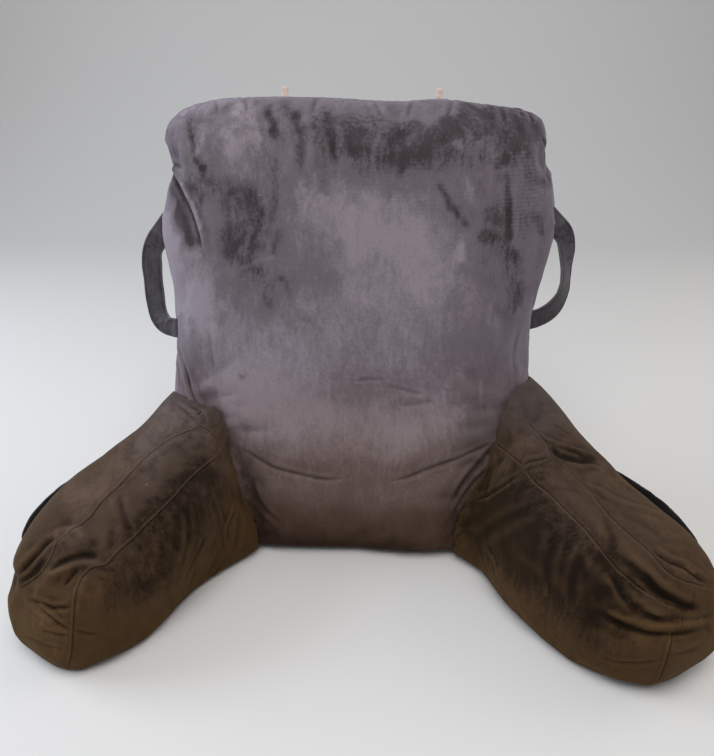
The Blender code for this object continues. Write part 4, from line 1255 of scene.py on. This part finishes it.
def stitchTree(thread):
    group = bpy.data.node_groups.new("threadStitches", "GeometryNodeTree")
    group.interface.new_socket("Geometry", in_out="INPUT", socket_type="NodeSocketGeometry")
    sockets = {}
    for title in ("Pitch", "Length", "Thickness", "Unevenness", "Seed"):
        kind = "NodeSocketInt" if title == "Seed" else "NodeSocketFloat"
        sockets[title] = group.interface.new_socket(title, in_out="INPUT", socket_type=kind).identifier
    group.interface.new_socket("Geometry", in_out="OUTPUT", socket_type="NodeSocketGeometry")

    def add(kind, **values):
        node = group.nodes.new(kind)
        for key, value in values.items():
            setattr(node, key, value)
        return node

    def join(start, end):
        group.links.new(start, end)

    given, made = add("NodeGroupInput"), add("NodeGroupOutput")
    curve = add("GeometryNodeMeshToCurve")
    even = add("GeometryNodeResampleCurve", mode="LENGTH")
    bead = add("GeometryNodeMeshUVSphere")
    bead.inputs["Segments"].default_value = 6
    bead.inputs["Rings"].default_value = 4
    bead.inputs["Radius"].default_value = 0.5
    tangent = add("GeometryNodeInputTangent")
    align = add("FunctionNodeAlignRotationToVector", axis="Z")
    vary = add("FunctionNodeRandomValue", data_type="FLOAT")
    low, high = add("ShaderNodeMath", operation="SUBTRACT"), add("ShaderNodeMath", operation="ADD")
    low.inputs[0].default_value = 1.0
    high.inputs[0].default_value = 1.0
    long = add("ShaderNodeMath", operation="MULTIPLY")
    size = add("ShaderNodeCombineXYZ")
    place = add("GeometryNodeInstanceOnPoints")
    real = add("GeometryNodeRealizeInstances")
    dye = add("GeometryNodeSetMaterial")
    dye.inputs["Material"].default_value = thread
    join(given.outputs["Geometry"], curve.inputs["Mesh"])
    join(curve.outputs["Curve"], even.inputs["Curve"])
    join(given.outputs["Pitch"], even.inputs["Length"])
    join(even.outputs["Curve"], place.inputs["Points"])
    join(bead.outputs["Mesh"], place.inputs["Instance"])
    join(tangent.outputs[0], align.inputs["Vector"])
    join(align.outputs[0], place.inputs["Rotation"])
    join(given.outputs["Unevenness"], low.inputs[1])
    join(given.outputs["Unevenness"], high.inputs[1])
    floats = [s for s in vary.inputs if s.type == "VALUE" and s.enabled]
    join(low.outputs[0], floats[0])
    join(high.outputs[0], floats[1])
    join(given.outputs["Seed"], vary.inputs["Seed"])
    join(given.outputs["Length"], long.inputs[0])
    join([s for s in vary.outputs if s.type == "VALUE" and s.enabled][0], long.inputs[1])
    join(given.outputs["Thickness"], size.inputs["X"])
    join(given.outputs["Thickness"], size.inputs["Y"])
    join(long.outputs[0], size.inputs["Z"])
    join(size.outputs[0], place.inputs["Scale"])
    join(place.outputs["Instances"], real.inputs["Geometry"])
    join(real.outputs[0], dye.inputs["Geometry"])
    join(dye.outputs[0], made.inputs[0])
    return group, sockets


threadNodes, threadSockets = stitchTree(threadMaterial())


def sewStitches(name, lines, ground, node):
    tree = treeOf(ground)
    mesh = bpy.data.meshes.new(name)
    shape = bmesh.new()
    for line in lines:
        laid = []
        for p in line:
            hit, up, _, _ = tree.find_nearest(p)
            laid.append(shape.verts.new(hit + up * threadStitch["thickness"] * 0.2))
        for start, end in zip(laid, laid[1:]):
            shape.edges.new((start, end))
    shape.to_mesh(mesh)
    shape.free()
    piece = addPiece(name, mesh)
    sewing = piece.modifiers.new("sewing", "NODES")
    sewing.node_group = threadNodes
    for title, identifier in threadSockets.items():
        sewing[identifier] = threadStitch[title.lower()]
    applyModifiers(piece)
    piece.data.shade_smooth()
    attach(piece, body)
    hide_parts(node)
    print(name, "has", len(piece.data.polygons), "faces")


backrestTree = treeOf(backrest)
for side in ("left", "right"):
    strapShape, stitchLines = strapMesh(side + "StrapHandle", strapHandle[side], backrestTree)
    strap = addPiece(side + "StrapHandle", strapShape)
    strapTree = treeOf(strap)
    strapPoints = pointsOf(strap.data)
    for fold in strapHandle[side + "Folds"]:
        pressFold(strapPoints, lineOnCloth(strapTree, fold[5]), fold, under=strapHandle["foldUnder"])
    setPoints(strap.data, strapPoints)
    rim = np.abs(np.cos(2 * math.pi * np.arange(len(strapPoints)) / strapHandle["roundSteps"]))
    paleEdges = smoothStep(rim ** strapHandle["bulge"][0], *strapHandle["paleEdgeRim"]) * strapHandle["paleEdges"]
    setAttribute(strap.data, "napAndPaintedLight", paleEdges + strapHandle["napBase"])
    setAttribute(strap.data, "ruffle", np.full(len(strapPoints), strapHandle["ruffle"]))
    for name in ("sewn", "ribbed"):
        setAttribute(strap.data, name, np.zeros(len(strapPoints)))
    # painted shade in the strap's hollows and painted highlight on its ridges
    setAttribute(strap.data, "crease", creaseTone(strap.data))
    strap.data.materials.append(strapPlush)
    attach(strap, body)
    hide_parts("handle_" + side)
    sewStitches(side + "StrapStitches", stitchLines, strap, "handle_" + side)
print("straps sewn on")


# Side pockets: slack black cloth sewn to each arm's outer side, its mouth standing a little open; the
# near-black is partly the cloth's own colour, partly painted shade of the pocket's inside
sidePocket = {
    "along": (0.165, 0.345),
    "up": (0.030, 0.136),
    "cloth": 0.0022,
    "columns": 72,
    "rows": 44,
    "flat": (0.19, 0.112),
    "narrowing": 0.012,       # how much longer the bottom is than the mouth
    "droop": 0.020,           # how much lower the mouth is at its front end
    "hemFrom": 0.093,         # height on the cloth where the folded hem starts
    "hemThickness": 0.0007,
    "hemStitching": 0.84,     # how far up the cloth the hem is stitched
    "offArm": 0.0012,
    "ripple": 0.0022,
    "left": {"root": (-0.1689, 0.1422), "hand": -1, "splay": math.radians(33.5), "gape": 0.024},
    "right": {"root": (0.1771, 0.1362), "hand": 1, "splay": math.radians(30.5), "gape": 0.017},
}


def pocketMesh(name, pocket, tree):
    forward = Vector((pocket["hand"] * math.sin(pocket["splay"]), -math.cos(pocket["splay"]), 0))
    outward = Vector((pocket["hand"] * math.cos(pocket["splay"]), math.sin(pocket["splay"]), 0))
    root = Vector((*pocket["root"], 0))
    inner, outer = [], []
    columns, rows = sidePocket["columns"], sidePocket["rows"]
    (back, front), (bottom, mouth) = sidePocket["along"], sidePocket["up"]
    for j in range(rows + 1):
        rise = j / rows
        innerRow, outerRow = [], []
        for i in range(columns + 1):
            run = i / columns
            along = back + run * (front - back) + sidePocket["narrowing"] * (1 - rise) * (0.5 - run)
            up = bottom + rise * (mouth - bottom) - sidePocket["droop"] * run * rise
            start = root + forward * along + outward * 0.4 + Vector((0, 0, up))
            hit, normal, _, _ = tree.ray_cast(start, -outward)
            normal = (normal + outward).normalized()
            gape = pocket["gape"] * math.sin(math.pi * run) ** 0.7 * rise ** 1.6
            ripple = noise.noise(Vector((run * 7, rise * 2.2, pocket["hand"] * 4)))
            ripple *= sidePocket["ripple"] * rise
            hem = sidePocket["hemThickness"] if rise * (mouth - bottom) > sidePocket["hemFrom"] else 0.0
            off = sidePocket["offArm"] + gape + max(0.0, ripple) * math.sin(math.pi * run)
            innerRow.append(hit + normal * off)
            outerRow.append(hit + normal * (off + sidePocket["cloth"] + hem))
        inner.append(innerRow)
        outer.append(outerRow)
    mesh = bpy.data.meshes.new(name)
    shape = bmesh.new()
    near = [[shape.verts.new(p) for p in row] for row in inner]
    far = [[shape.verts.new(p) for p in row] for row in outer]
    for sheet in (near, far):
        for j in range(rows):
            for i in range(columns):
                shape.faces.new((sheet[j][i], sheet[j][i + 1], sheet[j + 1][i + 1], sheet[j + 1][i]))
    rim = [(0, i) for i in range(columns)] + [(j, columns) for j in range(rows)]
    rim += [(rows, i) for i in range(columns, 0, -1)] + [(j, 0) for j in range(rows, 0, -1)]
    for n, (j, i) in enumerate(rim):
        b, a = rim[(n + 1) % len(rim)]
        shape.faces.new((near[j][i], near[b][a], far[b][a], far[j][i]))
    bmesh.ops.recalc_face_normals(shape, faces=shape.faces)
    shape.to_mesh(mesh)
    shape.free()
    mesh.shade_smooth()
    stitched = outer[round(rows * sidePocket["hemStitching"])]
    return mesh, stitched[2:-2]


def pocketMaterial():
    material, tree, shader = nodeTree("pocketCloth")
    place = objectPlace(tree)
    weave = addNoise(tree, place, 700, 3, 0.7)
    soft = addNoise(tree, place, 40, 4, 0.6)
    # near black: the cloth's own dark colour together with painted shade of the pocket's shaded inside
    colour = addRamp(tree, soft, ((0.25, (0.010, 0.009, 0.009)), (0.75, (0.030, 0.026, 0.025))))
    tree.links.new(colour, shader.inputs["Base Color"])
    tree.links.new(addBump(tree, weave, 0.5, 0.0005), shader.inputs["Normal"])
    shader.inputs["Roughness"].default_value = 0.9
    shader.inputs["Specular IOR Level"].default_value = 0.15
    shader.inputs["Sheen Weight"].default_value = 0.12
    return material


pocketCloth = pocketMaterial()
for side, arm in (("left", leftArm), ("right", rightArm)):
    pocketShape, hemLine = pocketMesh(side + "SidePocket", sidePocket[side], treeOf(arm))
    pocket = addPiece(side + "SidePocket", pocketShape)
    pocket.data.materials.append(pocketCloth)
    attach(pocket, body)
    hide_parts("pocket_" + side)
    sewStitches(side + "PocketStitches", [hemLine], pocket, "pocket_" + side)
print("pockets sewn on")


# Tape tabs: short folded tapes caught in the top seam
tapeTab = {
    "width": 0.0085,
    "height": 0.013,
    "thickness": 0.0022,
    "rise": 26,
    "across": 14,
    "bulge": (0.4, 0.7),
    "lean": math.radians(8),
    "behindFront": 0.0022,    # from the front of the CAD tab to the tape's middle
    "castFrom": 0.8,
    "narrowing": 0.06,
    "roundedFrom": 0.86,      # share of the height where the folded top starts to round
    "uneven": 0.2,
    "left": -0.0969,
    "right": 0.1081,
}


def tabMesh(name, x, tree):
    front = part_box("tab_left")[0].y
    above = Vector((x, front + tapeTab["behindFront"], tapeTab["castFrom"]))
    hit, _, _, _ = tree.ray_cast(above, Vector((0, 0, -1)))
    rings = []
    for step in range(tapeTab["rise"] + 1):
        rise = step / tapeTab["rise"]
        overTop = max(0.0, (rise - tapeTab["roundedFrom"]) / (1 - tapeTab["roundedFrom"]))
        rounding = math.sqrt(1 - overTop ** 2 * 0.9)
        up = rise * tapeTab["height"]
        centre = hit + Vector((0.001 * rise, up * math.sin(tapeTab["lean"]), up + clearOfNeighbour))
        ring = []
        for k in range(tapeTab["across"]):
            angle = 2 * math.pi * k / tapeTab["across"]
            w, t = roundedSection(angle, tapeTab["width"], tapeTab["thickness"], tapeTab["bulge"])
            swell = 1 + tapeTab["uneven"] * math.sin(rise * 9 + math.cos(angle))
            ring.append(centre + Vector((w * (1 - tapeTab["narrowing"] * rise), t * rounding * swell, 0)))
        rings.append(ring)
    return tubeMesh(name, rings)


def tapeMaterial():
    material, tree, shader = nodeTree("creamTape")
    place = objectPlace(tree)
    threads = tree.nodes.new("ShaderNodeTexWave")
    threads.bands_direction = "Z"
    threads.inputs["Scale"].default_value = 260
    threads.inputs["Distortion"].default_value = 1.5
    tree.links.new(place, threads.inputs["Vector"])
    fuzz = addNoise(tree, place, 500, 3, 0.6)
    colour = addRamp(tree, fuzz, ((0.3, (0.62, 0.46, 0.38)), (0.7, (0.80, 0.66, 0.58))))
    tree.links.new(colour, shader.inputs["Base Color"])
    normal = addBump(tree, threads.outputs["Fac"], 0.5, 0.0004)
    tree.links.new(addBump(tree, fuzz, 0.4, 0.0003, normal), shader.inputs["Normal"])
    shader.inputs["Roughness"].default_value = 0.75
    shader.inputs["Specular IOR Level"].default_value = 0.25
    return material


creamTape = tapeMaterial()
for side in ("left", "right"):
    tab = addPiece(side + "TapeTab", tabMesh(side + "TapeTab", tapeTab[side], backrestTree))
    tab.data.materials.append(creamTape)
    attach(tab, body)
    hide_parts("tab_" + side)
print("tabs sewn on")


# Floor and light
studio = {
    "floor": (0.76, 0.75, 0.73),
    "halfWidth": 7.0,
    "front": -5.0,
    "bend": 1.6,             # where the floor starts to turn up into the backdrop
    "bendRadius": 1.2,
    "bendSteps": 24,
    "top": 4.0,
    "roughness": 0.85,
    "world": 0.34,
    "worldColour": (0.93, 0.95, 1.0),
    "aim": (0, 0, 0.25),
    "key": {"size": 1.4, "power": 30, "place": (-0.1, -0.9, 2.3), "colour": (1.0, 0.98, 0.97)},
    "cool": {"size": 1.2, "power": 23, "place": (-1.9, 0.2, 1.2), "colour": (0.78, 0.87, 1.0)},
    "warm": {"size": 1.3, "power": 8, "place": (1.8, 0.4, 1.3), "colour": (1.0, 0.94, 0.88)},
}


def addStudio():
    mesh = bpy.data.meshes.new("studioSweep")
    shape = bmesh.new()
    radius, steps = studio["bendRadius"], studio["bendSteps"]
    profile = [(studio["front"], 0.0)]
    for k in range(steps + 1):
        a = math.pi / 2 * k / steps
        profile.append((studio["bend"] + radius * math.sin(a), radius * (1 - math.cos(a))))
    profile.append((studio["bend"] + radius, studio["top"]))
    ends = (-studio["halfWidth"], studio["halfWidth"])
    sides = [[shape.verts.new((x, y, z)) for y, z in profile] for x in ends]
    for k in range(len(profile) - 1):
        shape.faces.new((sides[0][k], sides[1][k], sides[1][k + 1], sides[0][k + 1]))
    shape.to_mesh(mesh)
    shape.free()
    mesh.shade_smooth()
    sweep = addPiece("studioSweep", mesh)
    material, tree, shader = nodeTree("studioSweep")
    shader.inputs["Base Color"].default_value = (*studio["floor"], 1)
    shader.inputs["Roughness"].default_value = studio["roughness"]
    sweep.data.materials.append(material)
    world = bpy.data.worlds.new("studio")
    world.use_nodes = True
    background = world.node_tree.nodes["Background"]
    background.inputs["Color"].default_value = (*studio["worldColour"], 1)
    background.inputs["Strength"].default_value = studio["world"]
    bpy.context.scene.world = world
    for name in ("key", "cool", "warm"):
        light = studio[name]
        data = bpy.data.lights.new(name + "Light", "AREA")
        data.size = light["size"]
        data.energy = light["power"]
        data.color = light["colour"]
        lamp = bpy.data.objects.new(name + "Light", data)
        lamp.location = light["place"]
        lamp.rotation_euler = (Vector(studio["aim"]) - lamp.location).to_track_quat("-Z", "Y").to_euler()
        bpy.context.scene.collection.objects.link(lamp)
    bpy.context.scene.view_settings.view_transform = "Standard"


addStudio()
print("studio lit")
